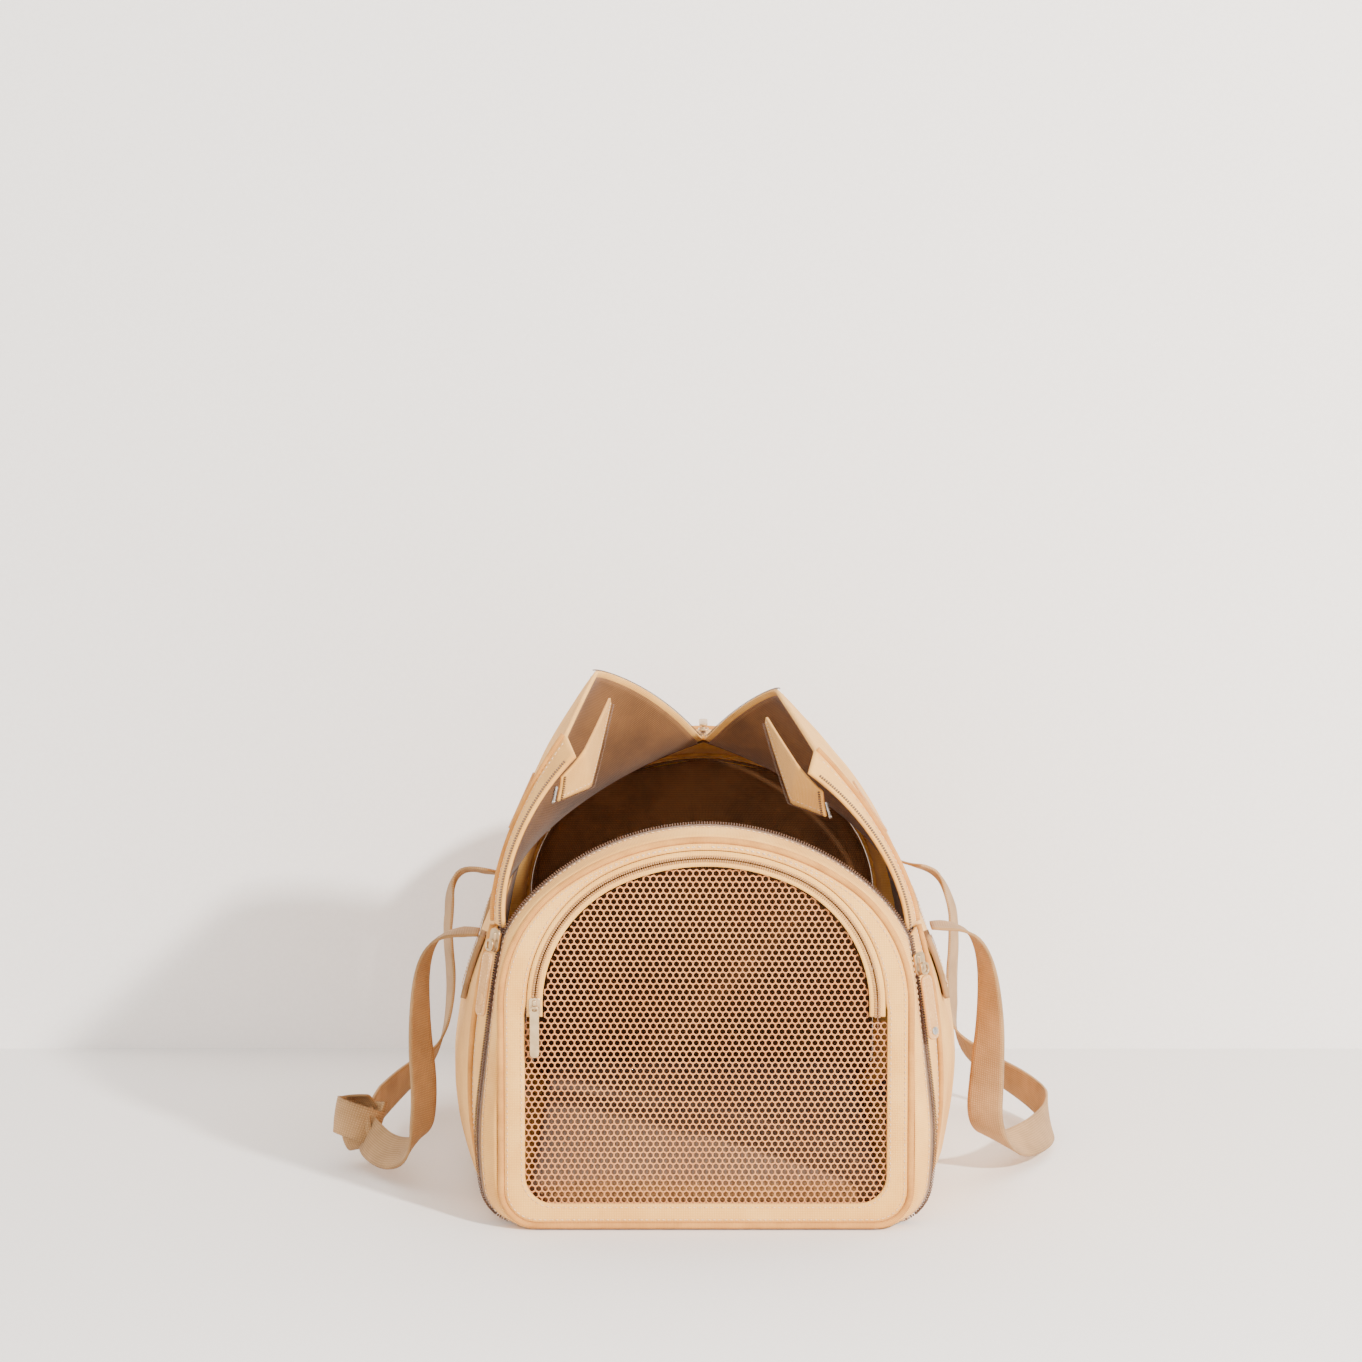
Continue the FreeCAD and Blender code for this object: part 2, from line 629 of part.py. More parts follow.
def end_piping(label, depth):
    """Corded piping round an end panel: a nearly round bead along the panel's edge."""
    body = arch_plate(label, depth, "2 * Sizes.piping_radius",
                      ("panel", "0", "Sizes.frame_bottom", "Sizes.panel_corner"),
                      ("panel", "2 * Sizes.piping_radius",
                       "Sizes.frame_bottom + 2 * Sizes.piping_radius",
                       "Sizes.panel_corner - 2 * Sizes.piping_radius"))
    faces = (body.Tip.Shape.BoundBox.YMin, body.Tip.Shape.BoundBox.YMax)
    round_edges(body, body.Tip, "Sizes.piping_radius * 0.85",
                lambda edge: edge.BoundBox.YLength < 1e-6 and
                min(abs(edge.BoundBox.YMin - y) for y in faces) < 1e-6)


end_piping("front_piping", FRONT + "0")
end_piping("rear_piping", REAR + "0")

# ---------------------------------------------------------------- flaps, standing open
crease_start = -seam + row_gap / 2
fold_gap = 1.0


def crease_x(y):
    """Distance of the crease from the middle line: the corner is turned in along it."""
    if y >= size.crease_end:
        return size.coil_gap
    share = (size.crease_end - y) / (size.crease_end + rim)
    return size.coil_gap + (size.crease - size.coil_gap) * min(share, 1.0)


def nose(y):
    """Extra room at the crease where the roof curves down to the front zipper."""
    return 0.4 * max(-rim - y, 0.0)


def roof_height(y, x):
    return min(resample(roof(y), 200), key=lambda p: abs(p[0] - x))[1]


def opened(side_sign, degrees):
    """Turns a closed flap open about its fold line."""
    centre = Vector(side_sign * size.fold_half, 0, size.fold_height)
    return FreeCAD.Placement(Vector(), FreeCAD.Rotation(Vector(0, 1, 0), side_sign * degrees), centre)


def turned_in(side_sign, degrees):
    """Turns a flap's corner in about its crease."""
    depth = 2.25 * size.wall
    ends = []
    for y in (-rim, size.crease_end):
        x = crease_x(y)
        ends.append(Vector(side_sign * x, y, roof_height(y, x) - depth))
    axis = ends[1] - ends[0]
    placement = FreeCAD.Placement(Vector(), FreeCAD.Rotation(axis, -side_sign * degrees), ends[0])
    return placement, ends


fold_middle = (size.crease_end - rim) / 2
flap_ys = [crease_start, -rim, fold_middle, size.crease_end, 0, size.flap_end]
flap_shape = shell([(y, cut_roof(y, roof(y)[0][0] - fold_gap, crease_x(y) + size.gap, 9))
                    for y in flap_ys], 0, size.wall)
tip_end = size.crease_end - 6 * size.wall
tip_ys = [crease_start, -rim, fold_middle, tip_end]
tip_shape = shell([(y, cut_roof(y, crease_x(y) - size.gap - nose(y), 2 * size.coil_gap, 4))
                   for y in tip_ys], 0, size.wall / 2)


def end_clip():
    """The metal stop at the corner where the flap's two zipper edges meet."""
    x = size.coil_gap
    z = roof_height(crease_start, x)
    thickness = 2.2
    clip = Part.makeBox(thickness, size.clip_length, thickness)
    below = z - thickness - size.wall / 2 - size.gap
    clip.translate(Vector(x, crease_start - size.gap - 2, below))
    return clip


def oval_patch():
    """A leather patch with round ends, sewn to the outside of the flap near its front edge."""
    y = -rim + 2.5 * size.patch_width
    points = cut_roof(y, 0.73 * size.fold_half, 0.44 * size.fold_half, 5)
    a, b = points[0], points[-1]
    along = Vector(b[0] - a[0], 0, b[1] - a[1]).normalize()
    up = Vector(0, 1, 0).cross(along)
    if up.z < 0:
        up = -up
    run = size.patch_length - size.patch_width
    middle = Vector((a[0] + b[0]) / 2, y, (a[1] + b[1]) / 2) + up * size.patch_thickness
    bar = Part.makeBox(run, size.patch_width, size.patch_thickness,
                       Vector(-run / 2, -size.patch_width / 2, 0))
    ends = [Part.makeCylinder(size.patch_width / 2, size.patch_thickness, Vector(x, 0, 0))
            for x in (-run / 2, run / 2)]
    shape = bar.fuse(ends).removeSplitter()
    frame = FreeCAD.Rotation(along, Vector(0, 1, 0), up, "ZXY")
    shape.Placement = FreeCAD.Placement(middle, frame)
    return shape


for name, sign, opening, turn in (("right", 1, size.right_open, size.right_turn),
                                  ("left", -1, size.left_open, size.left_turn)):
    parts = [flap_shape, tip_shape, end_clip(), oval_patch()]
    flap, tip, clip, patch = parts if sign > 0 else [mirrored(p) for p in parts]
    swing = opened(sign, opening)
    fold, crease_ends = turned_in(sign, turn)
    add_piece("flap_" + name, flap, swing)
    add_piece("flap_patch_" + name, patch.copy(), swing.multiply(patch.Placement))
    add_piece("flap_tip_" + name, tip, swing.multiply(fold))
    add_piece("flap_clip_" + name, clip.copy(), swing.multiply(fold).multiply(clip.Placement))
    print("crease", name, [tuple(round(v, 2) for v in swing.multVec(p)) for p in crease_ends])

# ---------------------------------------------------------------- top zipper behind the flaps
coil_half = size.coil_width
coil_ys = spread(size.flap_end + 2, rim - 30, 3)


def top_coil():
    wires = []
    height = size.coil_height - size.gap
    for y in coil_ys:
        z = roof(y)[-1][1] + size.gap
        corners = [Vector(x, y, h) for x, h in ((-coil_half, z), (coil_half, z),
                                                (coil_half, z + height), (-coil_half, z + height))]
        wires.append(Part.makePolygon(corners + corners[:1]))
    return Part.makeLoft(wires, True, True)


add_piece("top_coil", top_coil())


def slider(label, width, length, thickness, placement):
    """Zipper slider: a plate with round corners and a low bridge that holds the pull."""
    body = new_body(label)
    sketch = new_sketch(body, "XZ_Plane", label + "_profile")
    rounded_box(sketch, width + " / 2", "-(%s) / 2" % length, length + " / 2", width + " / 3")
    pad(body, sketch, thickness + " * 0.6")
    bridge_sketch = new_sketch(body, "XZ_Plane", label + "_bridge")
    rounded_box(bridge_sketch, width + " * 0.16", "-(%s) * 0.3" % length, length + " * 0.36",
                width + " * 0.12")
    bridge = pad(body, bridge_sketch, thickness)
    rim_level = bridge.Shape.BoundBox.YMin
    round_edges(body, bridge, thickness + " * 0.15",
                lambda edge: abs(edge.BoundBox.YMax - rim_level) < 1e-6)
    body.Placement = placement
    return body


def pull_tab(label, width, length, thickness, drop, placement):
    """A hanging pull with round ends and a slot near its top. It hangs from the local origin,
    drop below it, with its middle plane through it."""
    body = new_body(label)
    sketch = new_sketch(body, "XZ_Plane", label + "_profile")
    rounded_box(sketch, width + " / 2", "-(%s) - (%s)" % (drop, length), "-(%s)" % drop,
                width + " * 0.42")
    pad(body, sketch, thickness).Midplane = True
    hole = new_sketch(body, "XZ_Plane", label + "_slot")
    rounded_box(hole, width + " * 0.26", "-(%s) - (%s) * 0.5" % (drop, width),
                "-(%s) - (%s) * 0.26" % (drop, width), width + " * 0.08")
    pocket_through(body, hole)
    body.Placement = placement
    return body


def ring(label, width, reach, wire, placement):
    """The D-shaped ring that links a slider to its pull, with its top bar on the local origin."""
    body = new_body(label)
    sketch = new_sketch(body, "XZ_Plane", label + "_profile")
    rounded_box(sketch, width + " / 2", "-(%s)" % reach, wire + " / 2", width + " * 0.4")
    pad(body, sketch, wire).Midplane = True
    hole = new_sketch(body, "XZ_Plane", label + "_hole")
    rounded_box(hole, "(%s) / 2 - (%s)" % (width, wire), "-(%s) + (%s)" % (reach, wire),
                "-(%s) / 2" % wire, "(%s) * 0.4 - (%s)" % (width, wire))
    pocket_through(body, hole)
    body.Placement = placement
    return body


def seam_point(height):
    """On the straight upper part of the main zipper, on the right."""
    share = (height - size.seam_hip_height) / (size.seam_fold_height - size.seam_hip_height)
    return size.seam_hip + (size.seam_fold - size.seam_hip) * share


lean = math.degrees(math.atan2(size.seam_hip - size.seam_fold,
                               size.seam_fold_height - size.seam_hip_height))
ring_reach = "Sizes.slider_width * 0.7"
tab_drop = ring_reach + " + Sizes.gap"
bar_clearance = 0.71 * size.ring_wire + size.gap
for name, sign, height, turn in (("left", -1, size.left_slider_rest, size.left_slider_turn),
                                 ("right", 1, size.right_slider_rest, size.right_slider_turn)):
    facing = FreeCAD.Rotation(Vector(0, 1, 0), -sign * lean).multiply(
        FreeCAD.Rotation(Vector(0, 0, 1), sign * turn))
    outwards = facing.multVec(Vector(0, -1, 0))
    on_seam = Vector(sign * seam_point(height), -seam, height)
    seat = on_seam + outwards * size.slider_stand
    slider("slider_" + name, "Sizes.slider_width", "Sizes.slider_length", "Sizes.slider_thickness",
           FreeCAD.Placement(seat, facing))
    bar = seat + outwards * (size.slider_thickness + bar_clearance)
    hang = FreeCAD.Placement(bar, facing)
    ring("pull_ring_" + name, "Sizes.tab_width * 0.8", ring_reach, "Sizes.ring_wire", hang)
    pull_tab("pull_tab_" + name, "Sizes.tab_width", "Sizes.tab_length", "Sizes.tab_thickness",
             tab_drop, hang)
    print("slider", name, "bar", tuple(bar), "axis", tuple(facing.multVec(Vector(-1, 0, 0))),
          "down", tuple(facing.multVec(Vector(0, 0, -1))))
    if name == "right":
        rivet = new_body("pull_rivet_right")
        sketch = new_sketch(rivet, "XZ_Plane", "rivet_profile")
        drop = tab_drop + " + Sizes.tab_length - Sizes.tab_width * 0.55"
        middle = Vector(0, -float(sketch.evalExpression(drop)), 0)
        sketch.addGeometry(Part.Circle(middle, Vector(0, 0, 1), 2.6), False)
        sketch.addConstraint(Sketcher.Constraint("PointOnObject", 0, 3, -2))
        bind(sketch, "Sizes.tab_width * 0.26", "Radius", 0)
        bind(sketch, drop, "DistanceY", 0, 3, -1, 1)
        pad(rivet, sketch, "Sizes.gap * 2.5")
        rivet.Placement = FreeCAD.Placement(bar + outwards * (size.tab_thickness / 2 + 0.01), facing)

# ---------------------------------------------------------------- door slider and pull
small_slider = size.slider_thickness * 0.85
small_clearance = 0.71 * size.door_pull_thickness + size.gap
small_drop = "-Sizes.door_pull_thickness / 2"
door_seat = Vector(-size.door_half, front - 0.3, size.door_foot + size.door_slider_length / 2 + 3)
slider("door_slider", "Sizes.door_slider_width", "Sizes.door_slider_length",
       "Sizes.slider_thickness * 0.85", FreeCAD.Placement(door_seat, FreeCAD.Rotation()))
door_bar = door_seat - Vector(0, small_slider + small_clearance, 0)
pull_tab("door_pull", "Sizes.door_pull_width", "Sizes.door_pull_length", "Sizes.door_pull_thickness",
         small_drop, FreeCAD.Placement(door_bar, FreeCAD.Rotation()))
print("door_bar", tuple(door_bar))

# ---------------------------------------------------------------- top slider, parked behind the flaps
top_y = size.flap_end + 14
top_seat = Vector(0, top_y, roof(top_y)[-1][1] + size.gap + 2.4)
lying = FreeCAD.Rotation(Vector(1, 0, 0), -90)
slider("top_slider", "Sizes.door_slider_width", "Sizes.door_slider_length",
       "Sizes.slider_thickness * 0.85", FreeCAD.Placement(top_seat, lying))
top_bar = top_seat + Vector(0, 0, small_slider + small_clearance)
backwards = FreeCAD.Rotation(Vector(0, 0, 1), 180).multiply(lying)
pull_tab("top_pull", "Sizes.door_pull_width", "Sizes.door_pull_length", "Sizes.door_pull_thickness",
         small_drop, FreeCAD.Placement(top_bar, backwards))
print("top_bar", tuple(top_bar))


# ---------------------------------------------------------------- handles
def anchors():
    """The sewn-down ends of the two handles, one at each end of each side."""
    out = []
    for sign in (1, -1):
        for end in (-1, 1):
            y = end * size.anchor_distance
            wires = []
            for edge_y in (y - size.strap_width / 2, y + size.strap_width / 2):
                dense = [p for p in resample(side(edge_y), 300)
                         if size.anchor_top - size.anchor_length <= p[1] <= size.anchor_top]
                wires.append((edge_y, resample(dense, 6)))
            patch = shell(wires, -size.gap - 2 * size.strap_thickness, -size.gap)
            out.append(patch if sign > 0 else mirrored(patch))
    return Part.makeCompound(out)


add_piece("strap_anchors", anchors())

# Each handle: its route from the front anchor to the rear one, with the direction of the
# webbing's width at each point.
LEFT_ROUTE = [
    ((-150, -112, 174), (0.1, 1, 0)), ((-173, -112, 176), (0.1, 1, 0.1)),
    ((-189, -110, 156), (0.1, 1, 0)), ((-191, -109, 106), (0.2, 1, 0)),
    ((-187, -107, 62), (0.3, 1, 0)), ((-192, -103, 25), (0.5, 0.8, 0.2)),
    ((-215, -80, 15), (0.5, 0.5, 0.6)), ((-237, -38, 26), (0.3, 0.1, 1)),
    ((-225, 40, 30), (0, 0, 1)), ((-214, 105, 31), (0, 0, 1)),
    ((-194, 163, 37), (0.1, -0.6, 0.8)), ((-185, 166, 83), (0.3, -1, 0)),
    ((-188, 151, 133), (0.2, -1, 0)), ((-183, 135, 168), (0.3, -1, 0.1)),
    ((-169, 122, 182), (0.1, -1, 0.4)), ((-150, 112, 180), (0.1, -1, 0.2))]
RIGHT_ROUTE = [
    ((150, -112, 178), (-0.1, 1, 0)), ((173, -112, 179), (-0.1, 1, 0.1)),
    ((187, -110, 159), (-0.1, 1, 0)), ((191, -107, 116), (-0.3, 1, 0)),
    ((189, -100, 74), (-0.7, 0.7, 0)), ((188, -89, 38), (-1, 0.3, 0.2)),
    ((204, -64, 17), (-0.6, 0.2, 0.8)), ((231, -20, 15), (-0.1, 0, 1)),
    ((248, 42, 16), (0, 0, 1)), ((238, 102, 21), (0, 0, 1)),
    ((211, 147, 30), (0, 0.2, 1)), ((187, 168, 46), (-0.2, -0.6, 0.8)),
    ((183, 160, 90), (-0.3, -1, 0)), ((184, 147, 128), (-0.2, -1, 0)),
    ((181, 137, 154), (-0.2, -1, 0.1)), ((168, 124, 180), (-0.1, -1, 0.4)),
    ((150, 112, 186), (-0.1, -1, 0.2))]


def route_wire(points):
    """Straight runs joined by tangent arcs, each as large as its two runs allow."""
    edges = []
    radii = []
    start = points[0]
    for before, here, after in zip(points, points[1:], points[2:]):
        back, on = before - here, after - here
        turn = math.pi - back.getAngle(on)
        shorter = min(back.Length, on.Length)
        radius = 0.45 * shorter / math.tan(turn / 2)
        radii.append(radius)
        back.normalize()
        on.normalize()
        first = here + back * (0.45 * shorter)
        last = here + on * (0.45 * shorter)
        middle = here + (back + on).normalize() * (radius / math.cos(turn / 2) - radius)
        edges += [Part.makeLine(start, first), Part.Arc(first, middle, last).toShape()]
        start = last
    edges.append(Part.makeLine(start, points[-1]))
    return Part.Wire(edges), radii


def webbing(label, route):
    points = [Vector(*p) for p, width in route]
    wire, radii = route_wire(points)
    wires = []
    reach = [0.0]
    for a, b in zip(points, points[1:]):
        reach.append(reach[-1] + a.distanceToPoint(b))
    steps = 72
    placed = wire.discretize(Number=steps + 1)
    for i, here in enumerate(placed):
        ahead = placed[min(i + 1, steps)]
        behind = placed[max(i - 1, 0)]
        along = (ahead - behind).normalize()
        wanted = reach[-1] * i / steps
        leg = max(k for k in range(len(reach) - 1) if reach[k] <= wanted + 1e-9)
        share = (wanted - reach[leg]) / (reach[leg + 1] - reach[leg])
        wide = Vector(*route[leg][1]) * (1 - share) + Vector(*route[leg + 1][1]) * share
        wide = (wide - along * wide.dot(along)).normalize()
        thick = along.cross(wide)
        corners = [here + wide * (a * size.strap_width / 2) + thick * (b * size.strap_thickness / 2)
                   for a, b in ((-1, -1), (1, -1), (1, 1), (-1, 1))]
        wires.append(Part.makePolygon(corners + corners[:1]))
    shape = Part.makeLoft(wires, True, True)
    expected = size.strap_width * size.strap_thickness * wire.Length
    print(label, "length", round(wire.Length, 1), "radii", [round(r, 1) for r in radii],
          "volume share", round(shape.Volume / expected, 3), "lowest", round(shape.BoundBox.ZMin, 2))
    add_piece(label, shape)


webbing("strap_left", LEFT_ROUTE)
webbing("strap_right", RIGHT_ROUTE)


def knot():
    """The loose knot in the left handle."""
    body = new_body("strap_left_knot")
    sketch = new_sketch(body, "XY_Plane", "knot_profile")
    rounded_box(sketch, "Sizes.strap_width * 0.72", "-Sizes.strap_width * 0.62",
                "Sizes.strap_width * 0.62", "Sizes.strap_width * 0.3")
    block = pad(body, sketch, "Sizes.strap_width * 2")
    round_edges(body, block, "Sizes.strap_width * 0.25",
                lambda edge: edge.BoundBox.ZLength < 1e-6)
    body.Placement = FreeCAD.Placement(Vector(-238, -36, 0.4), FreeCAD.Rotation(Vector(0, 0, 1), 20))


knot()

# ---------------------------------------------------------------- checks and export
doc.recompute()
for thing in doc.Objects:
    for state in ("Invalid", "Error"):
        if state in thing.State:
            raise SystemExit("%s: %s" % (thing.Label, state))
os.makedirs("parts", exist_ok=True)
for piece in pieces:
    shape = piece.Shape
    if shape.isNull() or not shape.isValid() or not shape.Solids:
        raise SystemExit("%s has no sound solid" % piece.Label)
    if min(solid.Volume for solid in shape.Solids) <= 0:
        raise SystemExit("%s is inside out" % piece.Label)
    shape.exportStep("parts/%s.step" % piece.Label)
print(len(pieces), "pieces")
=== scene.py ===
import json
import math

import bmesh
import bpy
import numpy as np
from mathutils import Matrix, Vector, noise


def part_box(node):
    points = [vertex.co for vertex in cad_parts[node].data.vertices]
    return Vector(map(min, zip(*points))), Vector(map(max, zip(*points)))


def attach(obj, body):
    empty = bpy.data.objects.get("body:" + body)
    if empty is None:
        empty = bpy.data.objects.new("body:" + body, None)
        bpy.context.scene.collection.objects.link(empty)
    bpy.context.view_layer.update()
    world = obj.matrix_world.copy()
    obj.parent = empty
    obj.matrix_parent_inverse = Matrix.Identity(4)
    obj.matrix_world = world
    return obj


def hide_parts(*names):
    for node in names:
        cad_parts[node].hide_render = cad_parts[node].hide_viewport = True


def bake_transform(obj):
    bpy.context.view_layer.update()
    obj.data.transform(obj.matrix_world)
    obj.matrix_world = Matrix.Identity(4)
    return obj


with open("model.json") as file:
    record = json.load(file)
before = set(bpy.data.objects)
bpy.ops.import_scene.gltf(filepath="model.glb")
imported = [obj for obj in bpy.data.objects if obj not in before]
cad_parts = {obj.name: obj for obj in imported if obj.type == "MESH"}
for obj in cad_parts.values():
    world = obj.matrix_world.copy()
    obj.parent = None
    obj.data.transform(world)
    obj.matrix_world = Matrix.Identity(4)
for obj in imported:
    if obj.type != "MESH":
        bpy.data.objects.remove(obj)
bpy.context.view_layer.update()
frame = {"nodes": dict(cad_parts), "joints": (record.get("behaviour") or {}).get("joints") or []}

# --- Studio ------------------------------------------------------------------------------
# A pale matt table top, one large key light high on the right with a smaller one in front,
# and a long lens a little above the bag, level with its front panel.
camera_data = bpy.data.cameras.new("studio_camera")
camera_data.sensor_width = 36.0
camera_data.lens = 100.8
camera = bpy.data.objects.new("studio_camera", camera_data)
camera.location = (-0.0159, -2.616, 0.5976)
camera.rotation_euler = (math.radians(90 - 5.84), 0, 0)
bpy.context.collection.objects.link(camera)
bpy.context.scene.camera = camera


def light(name, place, aim, size, power, colour):
    lamp = bpy.data.lights.new(name, "AREA")
    lamp.size = size
    lamp.energy = power
    lamp.color = colour
    stand = bpy.data.objects.new(name, lamp)
    stand.location = place
    stand.rotation_euler = (Vector(aim) - Vector(place)).to_track_quat("-Z", "Y").to_euler()
    bpy.context.collection.objects.link(stand)


light("key_light", (1.55, -2.3, 1.55), (0, 0, 0.12), 0.16, 190, (1.0, 0.965, 0.915))
light("front_fill", (-0.9, -2.6, 0.9), (0, 0, 0.14), 1.6, 26, (1.0, 0.99, 0.98))
world = bpy.data.worlds.new("studio_air")
world.use_nodes = True
world.node_tree.nodes["Background"].inputs["Color"].default_value = (1.0, 0.985, 0.97, 1)
world.node_tree.nodes["Background"].inputs["Strength"].default_value = 1.25
bpy.context.scene.world = world


def linear(colour):
    """An sRGB hex colour as linear RGBA."""
    parts = [int(colour[i:i + 2], 16) / 255 for i in (1, 3, 5)]
    return [c / 12.92 if c <= 0.04045 else ((c + 0.055) / 1.055) ** 2.4 for c in parts] + [1.0]


def add(material, kind, inputs=None, **settings):
    """Adds one shader node: settings are its properties, inputs its values or links."""
    tree = material.node_tree
    node = tree.nodes.new("ShaderNode" + kind)
    for name, value in settings.items():
        setattr(node, name, value)
    for key, value in (inputs or {}).items():
        if isinstance(value, bpy.types.NodeSocket):
            tree.links.new(value, node.inputs[key])
        else:
            node.inputs[key].default_value = value
    return node


def new_material(name):
    """A material with nothing in it but its output."""
    material = bpy.data.materials.new(name)
    material.use_nodes = True
    material.node_tree.nodes.clear()
    return material


def finish_material(material, surface):
    add(material, "OutputMaterial", {"Surface": surface.outputs[0]})
    return material


def painted_board():
    """Matt white paint, rolled: almost even, with a faint orange peel."""
    material = new_material("white_emulsion_rolled")
    place = add(material, "TexCoord").outputs["Object"]
    peel = add(material, "TexNoise", {"Vector": place, "Scale": 350.0, "Detail": 2.0})
    tint = add(material, "Mix", {0: peel.outputs["Fac"], 6: linear("#efeae6"), 7: linear("#f6f3f0")},
               data_type="RGBA")
    bump = add(material, "Bump", {"Height": peel.outputs["Fac"], "Strength": 0.05, "Distance": 0.001})
    return finish_material(material, add(material, "BsdfPrincipled", {
        "Base Color": tint.outputs[2], "Roughness": 0.7, "Normal": bump.outputs[0]}))


def make_piece(name, bm, material, smooth=True):
    """Turns a bmesh into an object with one material, its faces pointing outwards."""
    mesh = bpy.data.meshes.new(name)
    bm.to_mesh(mesh)
    bm.free()
    if smooth:
        mesh.shade_smooth()
    mesh.materials.append(material)
    piece = bpy.data.objects.new(name, mesh)
    bpy.context.collection.objects.link(piece)
    return piece


floor_bm = bmesh.new()
bmesh.ops.create_grid(floor_bm, x_segments=2, y_segments=2, size=14.0)
floor_piece = make_piece("table_top", floor_bm, painted_board())
floor_piece.location.z = -0.0005
wall_bm = bmesh.new()
bmesh.ops.create_grid(wall_bm, x_segments=2, y_segments=2, size=7.0,
                      matrix=Matrix.Translation((0, 0.365, 3.0)) @ Matrix.Rotation(math.pi / 2, 4, "X"))
wall_piece = make_piece("studio_wall", wall_bm, floor_piece.data.materials[0])

# --- Handles -----------------------------------------------------------------------------
# Two loops of soft cotton webbing, 25 mm wide, sewn to the sides near the rim. They hang down
# and lie on the table on their edges; the left one is tied in a loose knot.
STRAP_WIDTH = 0.025
STRAP_THICKNESS = 0.0018
ROUTE_POINTS = 181


def fabric(name, low, high, pitch, depth=0.00018, rough=0.86, blotch=0.05, sheen=0.25):
    """Plain weave on the piece's own map, which is in metres: threads of the given pitch, and
    slow changes of tone across the cloth."""
    material = new_material(name)
    place = add(material, "UVMap", uv_map="cloth").outputs[0]
    warp, weft = (add(material, "TexWave", {"Vector": place, "Scale": math.pi / (10 * pitch),
                                            "Distortion": 0.6, "Detail": 1.0}, bands_direction=way)
                  for way in ("X", "Y"))
    weave = add(material, "Math", {0: warp.outputs["Fac"], 1: weft.outputs["Fac"]}, operation="MULTIPLY")
    tone = add(material, "TexNoise", {"Vector": add(material, "TexCoord").outputs["Object"],
                                      "Scale": 1 / blotch, "Detail": 4.0, "Roughness": 0.6})
    even = add(material, "MapRange", {"Value": tone.outputs["Fac"], "From Min": 0.3, "From Max": 0.7})
    share = add(material, "Math", {0: even.outputs[0], 1: 0.45, 2: 0.1}, operation="MULTIPLY_ADD")
    share = add(material, "Math", {0: weave.outputs[0], 1: 0.55, 2: share.outputs[0]},
                operation="MULTIPLY_ADD")
    share.use_clamp = True
    colour = add(material, "Mix", {0: share.outputs[0], 6: linear(low), 7: linear(high)}, data_type="RGBA")
    bump = add(material, "Bump", {"Height": weave.outputs[0], "Strength": 0.7, "Distance": depth})
    return finish_material(material, add(material, "BsdfPrincipled", {
        "Base Color": colour.outputs[2], "Roughness": rough, "Sheen Weight": sheen,
        "Sheen Roughness": 0.5, "Specular IOR Level": 0.25, "Normal": bump.outputs[0]}))


def cloth_grid(columns, rows, place, measure=None):
    """A sheet with its vertices put in place by a function of the two directions, each 0 to 1.
    measure gives a vertex's position in the cloth, in metres, for the weave."""
    bm = bmesh.new()
    bmesh.ops.create_grid(bm, x_segments=columns, y_segments=rows, size=0.5)
    cloth = bm.loops.layers.uv.new("cloth")
    spots = {v: (v.co.x + 0.5, v.co.y + 0.5) for v in bm.verts}
    for vert, (u, v) in spots.items():
        vert.co = place(u, v)
    for face in bm.faces:
        for loop in face.loops:
            u, v = spots[loop.vert]
            loop[cloth].uv = measure(u, v) if measure else (u, v)
    return bm


def map_cloth(bm):
    """Lays the weave on by the way each face points: front and back, sides, or top."""
    cloth = bm.loops.layers.uv.get("cloth") or bm.loops.layers.uv.new("cloth")
    bm.normal_update()
    for face in bm.faces:
        steep = [abs(c) for c in face.normal]
        axes = ((1, 2), (0, 2), (0, 1))[steep.index(max(steep))]
        for loop in face.loops:
            loop[cloth].uv = (loop.vert.co[axes[0]], loop.vert.co[axes[1]])


def thicken(bm, thickness):
    """Gives a sheet its thickness, half to each side, and closes its edges."""
    bmesh.ops.recalc_face_normals(bm, faces=bm.faces)
    for vert in bm.verts:
        vert.co += vert.normal * (thickness / 2)
    bmesh.ops.solidify(bm, geom=bm.faces[:], thickness=thickness)
    bmesh.ops.recalc_face_normals(bm, faces=bm.faces)


def smooth_line(name, points, count):
    """Evenly spaced points on a smooth curve guided by the given ones."""
    curve = bpy.data.curves.new(name, "CURVE")
    curve.dimensions = "3D"
    curve.resolution_u = 24
    spline = curve.splines.new("NURBS")
    spline.points.add(len(points) - 1)
    for spot, point in zip(spline.points, points):
        spot.co = (*point, 1)
    spline.order_u = 3
    spline.use_endpoint_u = True
    holder = bpy.data.objects.new(name, curve)
    bpy.context.collection.objects.link(holder)
    bpy.context.view_layer.update()
    line = bpy.data.meshes.new_from_object(holder)
    dense = np.array([v.co[:] for v in line.vertices])
    bpy.data.objects.remove(holder)
    bpy.data.meshes.remove(line)
    return spaced(dense, count)


def spaced(points, count):
    """count points along a line of points, evenly spaced by length."""
    points = np.asarray(points, float)
    reach = np.concatenate([[0], np.cumsum(np.linalg.norm(np.diff(points, axis=0), axis=1))])
    wanted = np.linspace(0, reach[-1], count)
    return np.stack([np.interp(wanted, reach, points[:, k]) for k in range(points.shape[1])], axis=1)


def run_length(points):
    return float(np.linalg.norm(np.diff(np.asarray(points), axis=0), axis=1).sum())


